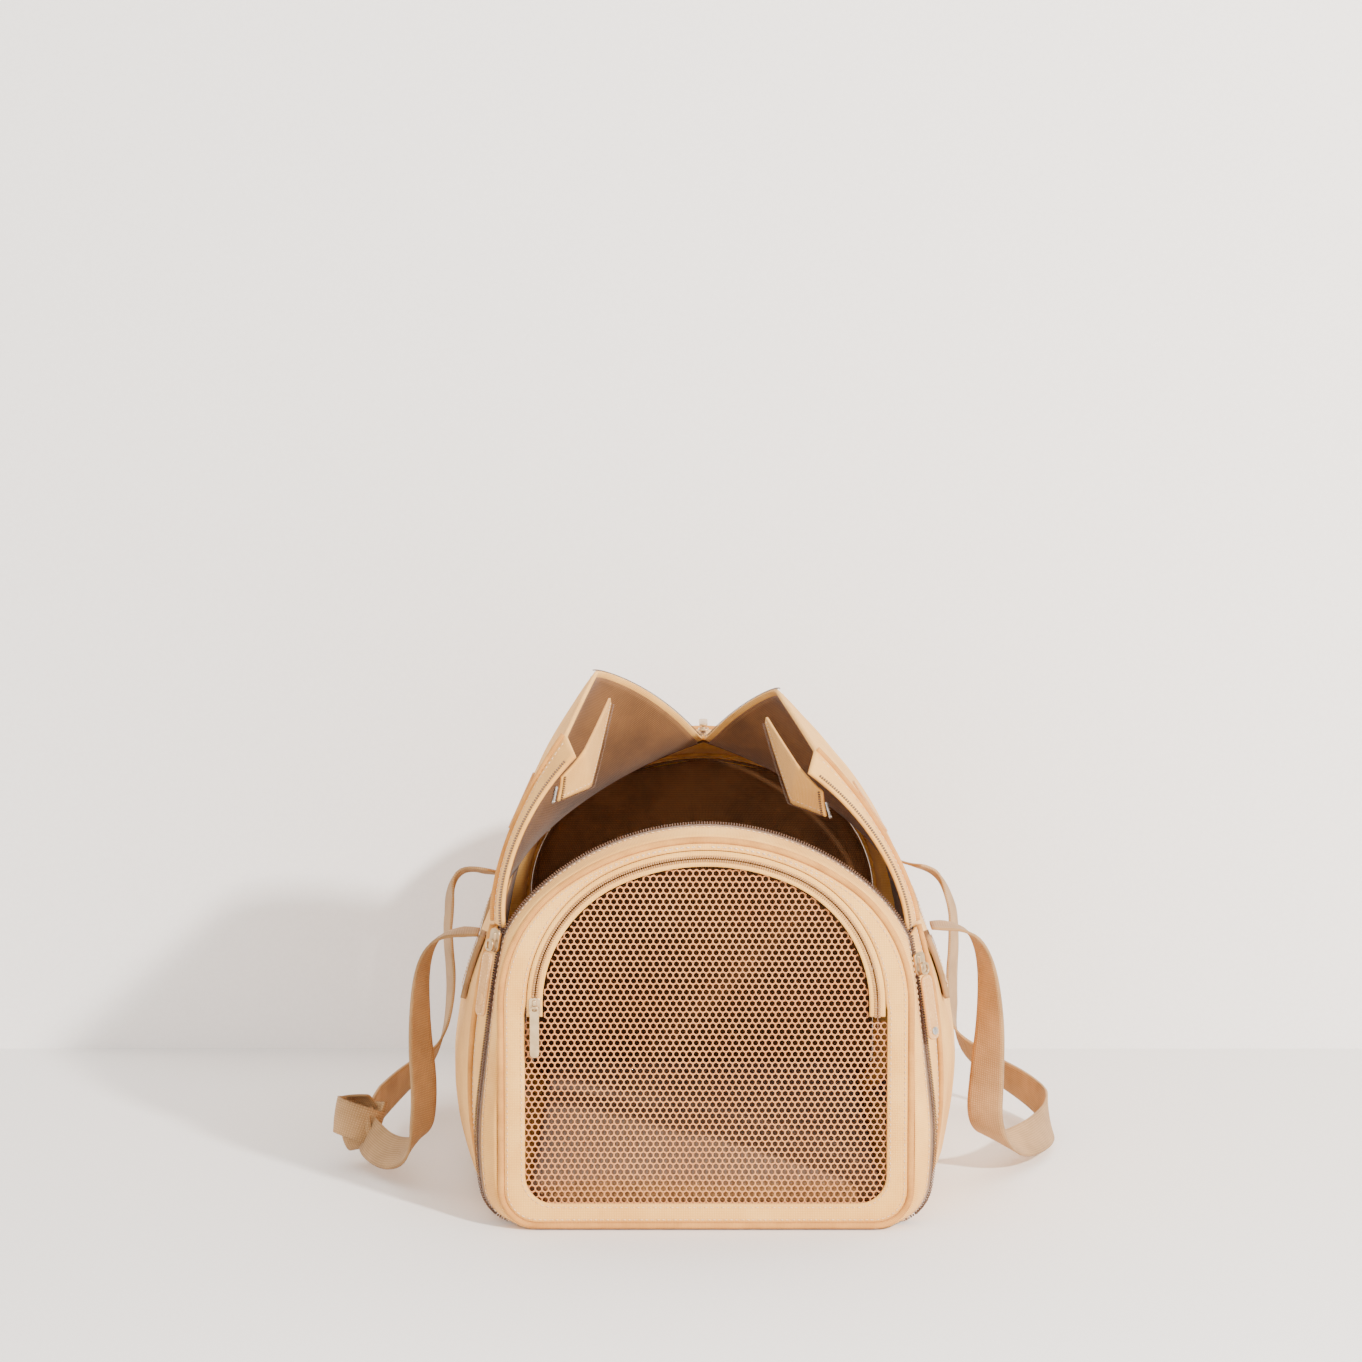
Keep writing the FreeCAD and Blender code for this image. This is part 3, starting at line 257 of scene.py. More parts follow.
left_route = [
    (-0.150, -0.112, 0.174), (-0.173, -0.112, 0.176), (-0.189, -0.110, 0.156), (-0.191, -0.109, 0.106),
    (-0.187, -0.107, 0.062), (-0.192, -0.103, 0.025), (-0.215, -0.080, 0.015), (-0.237, -0.038, 0.026),
    (-0.225, 0.040, 0.030), (-0.214, 0.105, 0.031), (-0.194, 0.163, 0.037), (-0.185, 0.166, 0.083),
    (-0.188, 0.151, 0.133), (-0.183, 0.135, 0.168), (-0.169, 0.122, 0.182), (-0.150, 0.112, 0.180)]
left_width = [
    (0.1, 1, 0), (0.1, 1, 0.1), (0.1, 1, 0), (0.2, 1, 0), (0.3, 1, 0), (0.5, 0.8, 0.2), (0.5, 0.5, 0.6),
    (0.3, 0.1, 1), (0, 0, 1), (0, 0, 1), (0.1, -0.6, 0.8), (0.3, -1, 0), (0.2, -1, 0), (0.3, -1, 0.1),
    (0.1, -1, 0.4), (0.1, -1, 0.2)]
right_route = [
    (0.150, -0.112, 0.178), (0.173, -0.112, 0.179), (0.187, -0.110, 0.159), (0.191, -0.107, 0.116),
    (0.189, -0.100, 0.074), (0.188, -0.089, 0.038), (0.204, -0.064, 0.017), (0.231, -0.020, 0.015),
    (0.248, 0.042, 0.016), (0.238, 0.102, 0.021), (0.211, 0.147, 0.030), (0.187, 0.168, 0.046),
    (0.183, 0.160, 0.090), (0.184, 0.147, 0.128), (0.181, 0.137, 0.154), (0.168, 0.124, 0.180),
    (0.150, 0.112, 0.186)]
right_width = [
    (-0.1, 1, 0), (-0.1, 1, 0.1), (-0.1, 1, 0), (-0.3, 1, 0), (-0.7, 0.7, 0), (-1, 0.3, 0.2),
    (-0.6, 0.2, 0.8), (-0.1, 0, 1), (0, 0, 1), (0, 0, 1), (0, 0.2, 1), (-0.2, -0.6, 0.8), (-0.3, -1, 0),
    (-0.2, -1, 0), (-0.2, -1, 0.1), (-0.1, -1, 0.4), (-0.1, -1, 0.2)]
webbing_cotton = fabric("cotton_webbing_woven", "#80603d", "#c69c6b", 0.0016, depth=0.0003, sheen=0.08,
                        blotch=0.03)


def ribbon(name, line, widths, width, thickness, material, cup=0.0006, columns=8):
    """A woven band along a line. widths holds the direction of its width at each point."""
    line = np.asarray(line)
    along = np.gradient(line, axis=0)
    along /= np.linalg.norm(along, axis=1)[:, None]
    wide = np.asarray(widths, float)
    wide = wide - along * (wide * along).sum(axis=1)[:, None]
    wide /= np.linalg.norm(wide, axis=1)[:, None]
    up = np.cross(along, wide)
    length = run_length(line)
    last = len(line) - 1

    def place(u, v):
        i = round(u * last)
        across = v - 0.5
        return Vector(line[i] + wide[i] * across * width + up[i] * cup * (4 * across * across - 0.5))

    bm = cloth_grid(last, columns, place, lambda u, v: (u * length, v * width))
    thicken(bm, thickness)
    return make_piece(name, bm, material)


def handle(name, route, widths, node):
    """One handle: a flat cord, with its route as its line."""
    line = smooth_line(name + "_line", route, ROUTE_POINTS)
    turned = smooth_line(name + "_width", widths, ROUTE_POINTS)
    piece = ribbon(name, line, turned, STRAP_WIDTH, STRAP_THICKNESS, webbing_cotton)
    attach(piece, "bag")
    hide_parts(node)
    run_length(line)


# The knot: the band goes once round itself, and its flat faces stand out at the top and side.
def knot_turn(name, centre, axis, start, radii, turns, drift, width, tilt):
    """Part of the knot: a band wound about an axis."""
    axis = Vector(axis).normalized()
    across = Vector(start).cross(axis).normalized()
    first = axis.cross(across).normalized()
    points = []
    widths = []
    for i in range(37):
        angle = 2 * math.pi * turns * i / 36
        arm = first * (radii[0] * math.cos(angle)) + across * (radii[1] * math.sin(angle))
        points.append(Vector(centre) + arm + axis * drift * (i / 36 - 0.5))
        widths.append(axis + arm.normalized() * tilt)
    piece = ribbon(name, points, widths, width, STRAP_THICKNESS, webbing_cotton)
    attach(piece, "bag")
    return piece


knot_low, knot_high = (Vector(c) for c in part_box("strap_left_knot"))
knot_mid = (knot_low + knot_high) / 2
knot_pieces = [
    knot_turn("handle_left_knot_wrap", knot_mid + Vector((0, -0.002, 0.006)), (0.25, 0.2, 1), (1, 0.3, 0),
              (0.0155, 0.0125), 1.12, 0.008, 0.024, 0.12),
    knot_turn("handle_left_knot_bight", knot_mid + Vector((0.001, 0.001, 0.004)), (1, -0.35, 0.25),
              (0, 0.2, 1), (0.0175, 0.0125), 0.8, 0.006, 0.022, -0.1),
]
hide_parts("strap_left_knot")
handle("handle_left", left_route, left_width, "strap_left")
handle("handle_right", right_route, right_width, "strap_right")

# --- Body shape ---------------------------------------------------------------------------
# The bag's cross-section changes along its length: an arch at each end panel, a wider one at
# the zipper, wider again at the rim, and bowed out in the middle. The roof folds open at FOLD.
RIM_Y = 0.180
SEAM_Y = 0.204
END_Y = 0.225
FOLD = (0.137, 0.190)


def arc_points(cx, cz, radius, start, end, count=24):
    angles = np.linspace(start, end, count + 1)
    return np.stack([cx + radius * np.cos(angles), cz + radius * np.sin(angles)], axis=1)


def arch_points(half, shoulder, spring, top, bottom=None, corner=0.0):
    """Right half of an upright arch, from its lowest point in the middle or from its foot, up
    over a shoulder to the crown."""
    rise = top - spring
    crown = ((half - shoulder) ** 2 + rise ** 2 - shoulder ** 2) / (2 * (rise - shoulder))
    turn = math.atan2(spring - (top - crown), half - shoulder)
    parts = []
    if bottom is not None:
        parts.append([(0, bottom)])
        parts.append(arc_points(half - corner, bottom + corner, corner, -math.pi / 2, 0, 12))
    parts.append(arc_points(half - shoulder, spring, shoulder, 0, turn, 36))
    parts.append(arc_points(0, top - crown, crown, turn, math.pi / 2, 20)[1:])
    return np.concatenate([np.asarray(p, float) for p in parts])


def side_points(hip, hip_height, fold, fold_height, side_radius, low_radius, corner):
    """Right side of the body: lower edge, flank and shoulder, up to the fold of the roof."""
    chord = math.dist((hip, hip_height), (fold, fold_height))
    reach = math.sqrt(side_radius ** 2 - chord ** 2 / 4)
    cx = (hip + fold) / 2 - (fold_height - hip_height) / chord * reach
    cz = (hip_height + fold_height) / 2 + (fold - hip) / chord * reach
    hip_angle = math.atan2(hip_height - cz, hip - cx)
    fold_angle = math.atan2(fold_height - cz, fold - cx)
    low_x = hip - low_radius * math.cos(hip_angle)
    low_z = hip_height - low_radius * math.sin(hip_angle)
    corner_x = low_x + math.sqrt((low_radius - corner) ** 2 - (low_z - corner) ** 2)
    meet = math.atan2(corner - low_z, corner_x - low_x)
    return np.concatenate([arc_points(corner_x, corner, corner, -math.pi / 2, meet),
                           arc_points(low_x, low_z, low_radius, meet, hip_angle)[1:],
                           arc_points(cx, cz, side_radius, hip_angle, fold_angle)[1:]])


def roof_points(fold, fold_height, top, low, high):
    """Right half of the closed roof, from the fold to the middle."""
    rise = top - fold_height
    ends = np.array([(fold, fold_height), (0.88 * fold, fold_height + low * rise),
                     (0.47 * fold, fold_height + high * rise), (0.0, top)])
    u = np.linspace(0, 1, 49)[:, None]
    return ((1 - u) ** 3 * ends[0] + 3 * u * (1 - u) ** 2 * ends[1] + 3 * u * u * (1 - u) * ends[2]
            + u ** 3 * ends[3])


PANEL = dict(half=0.133, shoulder=0.096, spring=0.146, top=0.254)
panel_half = arch_points(**PANEL, bottom=0.0, corner=0.025)[1:]
panel_cut = int(np.argmax(panel_half[:, 1] > 0.186))
COUNT = 41
sections = {
    "panel": (spaced(panel_half[:panel_cut + 1], COUNT), spaced(panel_half[panel_cut:], COUNT)),
    "seam": (spaced(side_points(0.146, 0.080, 0.131, 0.186, 5.84, 0.2, 0.028), COUNT),
             spaced(roof_points(0.131, 0.186, 0.260, 0.49, 1.0), COUNT)),
    "rim": (spaced(side_points(0.152, 0.085, *FOLD, 0.375, 0.25, 0.028), COUNT),
            spaced(roof_points(*FOLD, 0.281, 0.35, 0.79), COUNT)),
    "rear_rim": (spaced(side_points(0.152, 0.085, *FOLD, 0.375, 0.25, 0.028), COUNT),
                 spaced(roof_points(*FOLD, 0.276, 0.42, 1.0), COUNT)),
    "middle": (spaced(side_points(0.172, 0.075, *FOLD, 0.206, 0.2, 0.028), COUNT),
               spaced(roof_points(*FOLD, 0.286, 0.34, 0.75), COUNT)),
}


def section(y, part):
    """The cross-section at y: part 0 is the right side up to the fold, part 1 the roof."""
    depth = abs(y)
    edge = sections["rim" if y < 0 else "rear_rim"][part]
    if depth <= RIM_Y:
        share = 1 - (depth / RIM_Y) ** 2
        return edge * (1 - share) + sections["middle"][part] * share
    if depth <= SEAM_Y:
        share = (depth - RIM_Y) / (SEAM_Y - RIM_Y)
        return edge * (1 - share) + sections["seam"][part] * share
    share = (depth - SEAM_Y) / (END_Y - SEAM_Y)
    return sections["seam"][part] * (1 - share) + sections["panel"][part] * share


def over(y):
    """Over the top, from the lower edge on the right to the one on the left."""
    right = np.concatenate([section(y, 0), section(y, 1)[1:]])
    return np.concatenate([right, right[-2::-1] * (-1, 1)])


def pushed_out(points, distance):
    """The points moved square to their line, away from the bag's inside."""
    points = np.asarray(points, float)
    run = np.gradient(points, axis=0)
    run /= np.maximum(np.linalg.norm(run, axis=1), 1e-9)[:, None]
    return points + np.stack([run[:, 1], -run[:, 0]], axis=1) * distance


def pick(points, share):
    """The point at a share of the way along a line."""
    at = share * (len(points) - 1)
    i = min(int(at), len(points) - 2)
    return points[i] + (points[i + 1] - points[i]) * (at - i)


def loft(outline, ys, columns, rows, out=0.0, ripple=0.0, seed=0.0, span=(0.0, 1.0)):
    """A sheet over the body between two distances along it, with a slight unevenness."""
    cuts = {}
    length = run_length(outline(sum(ys) / 2))

    def place(u, v):
        y = ys[0] + (ys[1] - ys[0]) * u
        key = round(y, 6)
        if key not in cuts:
            cuts[key] = pushed_out(outline(y), out)
        x, z = pick(cuts[key], span[0] + (span[1] - span[0]) * v)
        point = Vector((x, y, z))
        if ripple:
            lean = Vector((math.copysign(1, x), 0, 0.3)).normalized()
            edge = min(1.0, 6 * min(u, 1 - u), 6 * min(v, 1 - v))
            wave = noise.noise(Vector((y * 9, z * 14, seed))) + 0.5 * noise.noise(
                Vector((y * 26, z * 34, seed + 4)))
            point += lean * ripple * edge * wave
        return point

    return cloth_grid(columns, rows, place, lambda u, v: (u * abs(ys[1] - ys[0]), v * length))


def mirror_points(outline):
    return lambda y: outline(y) * (-1, 1)


def tube(points, radius, reference, closed=False, segments=10):
    """A round bead along a line. reference is the direction its section starts from."""
    points = np.asarray(points, float)
    if closed:
        along = np.roll(points, -1, axis=0) - np.roll(points, 1, axis=0)
        points = np.concatenate([points, points[:1]])
        along = np.concatenate([along, along[:1]])
    else:
        along = np.gradient(points, axis=0)
    along /= np.linalg.norm(along, axis=1)[:, None]
    first = np.asarray(reference, float) - along * (along @ np.asarray(reference, float))[:, None]
    first /= np.linalg.norm(first, axis=1)[:, None]
    second = np.cross(along, first)
    length = run_length(points)
    last = len(points) - 1

    def place(u, v):
        i = round(u * last)
        angle = 2 * math.pi * v
        return Vector(points[i] + first[i] * radius * math.cos(angle)
                      + second[i] * radius * math.sin(angle))

    bm = cloth_grid(last, segments, place, lambda u, v: (u * length, v * 2 * math.pi * radius))
    bmesh.ops.remove_doubles(bm, verts=bm.verts, dist=radius * 0.02)
    if not closed:
        bmesh.ops.holes_fill(bm, edges=[e for e in bm.edges if e.is_boundary], sides=segments)
    bmesh.ops.recalc_face_normals(bm, faces=bm.faces)
    return bm


def raised(outline, y, out=0.0, skip=0.0):
    """The body's outline at y as points in space, pushed out, with a share left off each end
    that lies at the lower edge."""
    points = pushed_out(outline(y), out)
    cut = int(skip * len(points))
    kept = points[cut:len(points) - (cut if outline is over else 0)]
    return np.stack([kept[:, 0], np.full(len(kept), y), kept[:, 1]], axis=1)


def outwards(line):
    """The direction out of the body at each point of a line that runs up and over it."""
    run = np.gradient(line, axis=0)
    return np.stack([run[:, 2], 0 * run[:, 0], -run[:, 0]], axis=1)


# --- Sides --------------------------------------------------------------------------------
# Padded canvas, cut in one piece each side from the roof's fold to the floor seam, and lined
# with brown cloth. It bows out in the middle and is a little slack between its seams.
canvas = fabric("cotton_canvas_plain_weave", "#cc8733", "#ffca72", 0.0011, sheen=0.08)
lining_cloth = fabric("polyester_lining_woven", "#4a2f1a", "#a06d3e", 0.0012, rough=0.75, sheen=0.1)


def right_side(y):
    return section(y, 0)


SIDES = (("right", right_side, 1), ("left", mirror_points(right_side), -1))
for side, outline, sign in SIDES:
    bm = loft(outline, (-0.1765, 0.1765), 72, 40, out=-0.0015 * sign, ripple=0.0022,
              seed=2.0 if side == "right" else 7.5)
    thicken(bm, 0.003)
    wall = make_piece("side_canvas_" + side, bm, canvas)
    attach(wall, "bag")
    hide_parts("side_panel_" + side)
    bm = loft(outline, (-0.174, 0.174), 48, 30, out=-0.0052 * sign, span=(0.04, 0.97))
    thicken(bm, 0.0008)
    inner = make_piece("side_lining_" + side + "_cloth", bm, lining_cloth)
    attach(inner, "bag")
    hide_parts("side_lining_" + side)

# --- Floor, base board and mat ------------------------------------------------------------
# The underside is canvas. A rigid black plastic board lies on it, and a fleece mat on that.


def cad_copy(node):
    """A bmesh of a CAD node's mesh with its loose triangles joined."""
    bm = bmesh.new()
    bm.from_mesh(frame["nodes"][node].data)
    bmesh.ops.remove_doubles(bm, verts=bm.verts, dist=1e-6)
    return bm


def eased_copy(node, offset, segments, level, sharp=0.6):
    """A CAD node's shape with its level faces whole and its sharp edges rounded."""
    bm = cad_copy(node)
    bmesh.ops.dissolve_limit(bm, angle_limit=math.radians(level), verts=bm.verts, edges=bm.edges)
    edges = [e for e in bm.edges if e.calc_face_angle(0) > sharp]
    bmesh.ops.bevel(bm, geom=edges, offset=offset, segments=segments, profile=0.5, affect="EDGES",
                    material=-1)
    return bm


bm = eased_copy("bottom_panel", 0.0009, 2, 1, sharp=1)
bmesh.ops.triangulate(bm, faces=bm.faces)
map_cloth(bm)
floor_cloth = make_piece("floor_canvas", bm, canvas, smooth=False)
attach(floor_cloth, "bag")
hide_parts("bottom_panel")


def moulded_board():
    """Black polypropylene sheet: slightly shiny, with a fine pebble from the rollers."""
    material = new_material("polypropylene_extruded_sheet")
    place = add(material, "TexCoord").outputs["Object"]
    pebble = add(material, "TexVoronoi", {"Vector": place, "Scale": 900.0})
    cloud = add(material, "TexNoise", {"Vector": place, "Scale": 30.0})
    tint = add(material, "Mix", {0: cloud.outputs["Fac"], 6: linear("#241f1c"), 7: linear("#3a332e")},
               data_type="RGBA")
    bump = add(material, "Bump", {"Height": pebble.outputs["Distance"], "Strength": 0.4, "Distance": 0.0002})
    return finish_material(material, add(material, "BsdfPrincipled", {
        "Base Color": tint.outputs[2], "Roughness": 0.5, "IOR": 1.49, "Normal": bump.outputs[0]}))


board_plastic = moulded_board()
frame["nodes"]["base_board"].data.materials.clear()
frame["nodes"]["base_board"].data.materials.append(board_plastic)

fleece = fabric("polyester_fleece_brushed", "#6e4a2b", "#a87a4c", 0.003, depth=0.0008, rough=0.95,
                blotch=0.012, sheen=0.15)
bm = cad_copy("base_pad")
bmesh.ops.dissolve_limit(bm, angle_limit=math.radians(1), verts=bm.verts, edges=bm.edges)
mat = make_piece("fleece_mat", bm, fleece)
remesh = mat.modifiers.new("even", "REMESH")
remesh.mode = "VOXEL"
remesh.voxel_size = 0.006


def apply_modifiers(piece):
    bpy.context.view_layer.update()
    shaped = bpy.data.meshes.new_from_object(piece.evaluated_get(bpy.context.evaluated_depsgraph_get()))
    piece.modifiers.clear()
    old = piece.data
    piece.data = shaped
    bpy.data.meshes.remove(old)


def puff(piece, pressure, cap, frames=20):
    """Blows a closed cloth shape out a little, with each point's move capped."""
    cloth = piece.modifiers.new("cloth", "CLOTH")
    cloth.settings.use_pressure = True
    cloth.settings.uniform_pressure_force = pressure
    cloth.settings.effector_weights.gravity = 0
    rest = np.array([v.co[:] for v in piece.data.vertices])
    scene = bpy.context.scene
    for step in range(1, frames + 1):
        scene.frame_set(step)
    apply_modifiers(piece)
    scene.frame_set(1)
    moved = np.array([v.co[:] for v in piece.data.vertices]) - rest
    length = np.maximum(np.linalg.norm(moved, axis=1), 1e-9)
    moved *= np.minimum(1, cap / length)[:, None]
    piece.data.vertices.foreach_set("co", (rest + moved).ravel())


apply_modifiers(mat)
puff(mat, 3.0, 0.0025)
bm = bmesh.new()
bm.from_mesh(mat.data)
map_cloth(bm)
bm.to_mesh(mat.data)
bm.free()
mat.data.shade_smooth()
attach(mat, "bag")
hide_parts("base_pad")

# --- Rim piping and zipper between sides and front panel ------------------------------------
# A canvas-covered cord marks the edge of each side. In front of it come the sides' narrow band
# with one row of nylon coil, then the front panel's row and band.
PIPING_RADIUS = 0.0021
SEAM_STITCH_Y = -0.1855
COIL_Y = -0.2018
piping_cloth = fabric("cotton_piping_bias_cut", "#a4672a", "#e8a653", 0.0009, blotch=0.02, sheen=0.08)


def bead_over(name, outline, y, out, node, skip):
    points = raised(outline, y, out, skip)
    piece = make_piece(name, tube(points, PIPING_RADIUS, (0, 1, 0)), piping_cloth)
    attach(piece, "bag")
    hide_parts(node)


for side, outline, sign in SIDES:
    bead_over("piping_rim_" + side, outline, -RIM_Y, 0.0006 * sign, "rim_piping_" + side, 0.07)
bead_over("piping_rim_rear", over, RIM_Y, 0.0006, "rear_rim_piping", 0.03)


def join_rings(bm, rings):
    """Walls between each ring of vertices and the next."""
    for a, b in zip(rings, rings[1:]):
        count = len(a)
        for k in range(count):
            bm.faces.new((a[k], a[(k + 1) % count], b[(k + 1) % count], b[k]))


def stitches(points, outward, name, body, spacing=0.0036, length=0.0024, width=0.0006, thread=None):
    """A row of lockstitches: short rounded dashes half sunk in the cloth."""
    points = spaced(points, max(3, int(run_length(points) / spacing) + 1))
    outward = np.asarray(outward, float)
    bm = bmesh.new()
    for i in range(len(points) - 1):
        step = points[i + 1] - points[i]
        step /= np.linalg.norm(step)
        up = outward[int(i * len(outward) / len(points))] if outward.ndim == 2 else outward
        up = up - step * (up @ step)
        up = up / np.linalg.norm(up)
        aside = np.cross(step, up)
        middle = (points[i] + points[i + 1]) / 2
        rings = []
        for reach, rise, half in ((-0.5, -0.15, 0.35), (-0.3, 0.32, 1.0), (0.3, 0.32, 1.0),
                                  (0.5, -0.15, 0.35)):
            centre = middle + step * reach * length + up * rise * width
            rings.append([bm.verts.new(centre + (aside * x + up * z) * width * half / 2)
                          for x, z in ((1, 0), (0, 1), (-1, 0), (0, -1))])
        join_rings(bm, rings)
        bm.faces.new(rings[0])
        bm.faces.new(rings[-1][::-1])
    bmesh.ops.recalc_face_normals(bm, faces=bm.faces)
    piece = make_piece(name, bm, thread)
    if body:
        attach(piece, body)
    return piece


def sewing_thread(name, low, high):
    """Spun polyester thread: a twist of two tones with a soft shine."""
    material = new_material(name)
    place = add(material, "TexCoord").outputs["Object"]
    turn = add(material, "Mapping", {"Vector": place, "Rotation": (0.5, 0.4, 0.6)})
    ply = add(material, "TexWave", {"Vector": turn.outputs[0], "Scale": 260.0}, bands_direction="DIAGONAL")
    tint = add(material, "Mix", {0: ply.outputs["Fac"], 6: linear(low), 7: linear(high)}, data_type="RGBA")
    bump = add(material, "Bump", {"Height": ply.outputs["Fac"], "Strength": 0.5, "Distance": 0.0001})
    return finish_material(material, add(material, "BsdfPrincipled", {
        "Base Color": tint.outputs[2], "Roughness": 0.55, "Sheen Weight": 0.2, "Normal": bump.outputs[0]}))


thread_tan = sewing_thread("polyester_thread_tan", "#c99f72", "#f3d3a9")


def band(outline, ys, columns, rows, out, thickness, span=(0.0, 1.0), ripple=0.0):
    bm = loft(outline, ys, columns, rows, out=out, span=span, ripple=ripple, seed=1.3)
    thicken(bm, thickness)
    return bm


strip_wall = 0.0018
for side, outline, sign in SIDES:
    piece = make_piece("side_band_" + side, band(outline, (-0.1830, -0.2000), 5, 70, -0.0009 * sign,
                                                 strip_wall), canvas)
    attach(piece, "bag")
    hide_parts("zipper_strip_" + side)
    row = raised(outline, SEAM_STITCH_Y, 0.0001 * sign)
    stitches(row, outwards(row) * sign, "side_band_stitching_" + side, "bag", thread=thread_tan)

front_band = make_piece("front_band", band(over, (-0.2080, -0.2228), 5, 170, -0.0011, 0.0016), canvas)
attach(front_band, "front_panel")
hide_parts("front_strip")
row = raised(over, -0.2105, 0.0)
stitches(row, outwards(row), "front_band_stitching", "front_panel", thread=thread_tan)
rear_band = make_piece("rear_band", band(over, (0.1830, 0.2228), 9, 170, -0.0009, strip_wall, ripple=0.0006),
                       canvas)
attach(rear_band, "bag")
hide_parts("rear_gusset")
row = raised(over, 0.1862, 0.0)
stitches(row, outwards(row), "rear_band_stitching", "bag", thread=thread_tan)


def nylon(name, low, high):
    """Dyed nylon coil: even, faintly translucent, with a worn shine."""
    material = new_material(name)
    place = add(material, "TexCoord").outputs["Object"]
    wear = add(material, "TexNoise", {"Vector": place, "Scale": 120.0, "Detail": 3.0})
    fine = add(material, "TexNoise", {"Vector": place, "Scale": 2500.0})
    tint = add(material, "Mix", {0: wear.outputs["Fac"], 6: linear(low), 7: linear(high)}, data_type="RGBA")
    bump = add(material, "Bump", {"Height": fine.outputs["Fac"], "Strength": 0.2, "Distance": 0.0001})
    return finish_material(material, add(material, "BsdfPrincipled", {
        "Base Color": tint.outputs[2], "Roughness": 0.42, "IOR": 1.53, "Normal": bump.outputs[0]}))


coil_brown = nylon("nylon_coil_brown", "#4a3122", "#7d5a40")
coil_tan = nylon("nylon_coil_tan", "#9c6f48", "#c79a6b")


def teeth(name, points, outward, across, material, body, pitch=0.0017, width=0.0022, height=0.0016, nodes=()):
    """One row of a coil zipper: a turn of the coil at every pitch, arched over the tape edge.
    across points from the row to the one it meets."""
    points = spaced(points, max(3, int(run_length(points) / pitch) + 1))
    ups = spaced(np.asarray(outward, float), len(points)) if np.ndim(outward) == 2 else None
    sides = spaced(np.asarray(across, float), len(points)) if np.ndim(across) == 2 else None
    bm = bmesh.new()
    run = np.gradient(points, axis=0)
    run /= np.linalg.norm(run, axis=1)[:, None]
    for i in range(len(points)):
        up = ups[i] if ups is not None else np.asarray(outward, float)
        aside = sides[i] if sides is not None else np.asarray(across, float)
        up = up / np.linalg.norm(up)
        aside = aside / np.linalg.norm(aside)
        rings = []
        for reach, rise, half in ((-0.5, 0.05, 0.55), (-0.3, 0.8, 0.7), (0.2, 0.95, 0.8), (0.5, 0.5, 1.0),
                                  (0.42, 0.1, 0.8)):
            centre = points[i] + aside * reach * width + up * rise * height
            rings.append([bm.verts.new(centre + run[i] * x * pitch * 0.36 * half
                                       + up * z * height * 0.2 * half)
                          for x, z in ((1, 0), (0, 1), (-1, 0), (0, -1))])
        join_rings(bm, rings)
        bm.faces.new(rings[0])
        bm.faces.new(rings[-1][::-1])
    bmesh.ops.recalc_face_normals(bm, faces=bm.faces)
    piece = make_piece(name, bm, material)
    if body:
        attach(piece, body)
    if nodes:
        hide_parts(*nodes)
    return piece


def tape_row(name, outline, y, toward, sign, body, nodes, skip):
    """Coil teeth along the body's outline at y. The woven tape they are sewn to is made on its own."""
    line = raised(outline, y, 0.0, skip)
    row = teeth(name + "_teeth", line, outwards(line) * sign, (0, toward, 0), coil_brown, body, nodes=nodes)


for side, outline, sign in SIDES:
    tape_row("side_coil_" + side, outline, COIL_Y, -1, sign, "bag", ["zipper_coil_" + side], 0.06)
tape_row("front_coil", over, -0.2062, 1, 1, "front_panel", ["front_coil"], 0.03)
tape_cloth = fabric("polyester_zipper_tape", "#6e4c33", "#a47c59", 0.0008, blotch=0.02)
for side, outline, sign in SIDES:
    tape = make_piece("side_tape_" + side, band(outline, (-0.1998, -0.2028), 2, 60, -0.0006 * sign, 0.0006,
                                                span=(0.06, 1.0)), tape_cloth)
    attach(tape, "bag")
tape = make_piece("front_tape", band(over, (-0.2052, -0.2082), 2, 150, -0.0006, 0.0006, span=(0.02, 0.98)),
                  tape_cloth)
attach(tape, "front_panel")

# --- Front panel ----------------------------------------------------------------------------
# A canvas border with piping round it, stretched on the front of the band. Its upper part is
# open for the door; the lower window is mesh.
FRONT = -0.225
BORDER = 0.0024


outer_arch = arch_points(**PANEL, bottom=0.0006, corner=0.025)


def inset(points, distance):
    """An open or closed line moved sideways, to its right."""
    points = np.asarray(points, float)
    run = np.gradient(points, axis=0)
    run /= np.maximum(np.linalg.norm(run, axis=1), 1e-9)[:, None]
    return points + np.stack([-run[:, 1], run[:, 0]], axis=1) * distance


def stand(points, y):
    return np.stack([points[:, 0], np.full(len(points), y), points[:, 1]], axis=1)


for name, y, body, node in (("piping_front", FRONT + 0.0012, "front_panel", "front_piping"),
                            ("piping_rear", -FRONT - 0.0012, "bag", "rear_piping")):
    half = inset(outer_arch, 0.0022)
    half[0][0] = 0.0
    half[-1][0] = 0.0
    loop = np.concatenate([half, (half[1:-1] * (-1, 1))[::-1]])
    loop = spaced(np.concatenate([loop, loop[:1]]), 361)[:-1]
    piece = make_piece(name, tube(stand(loop, y), 0.00215, (0, 1, 0), closed=True), piping_cloth)
    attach(piece, body)
    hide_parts(node)


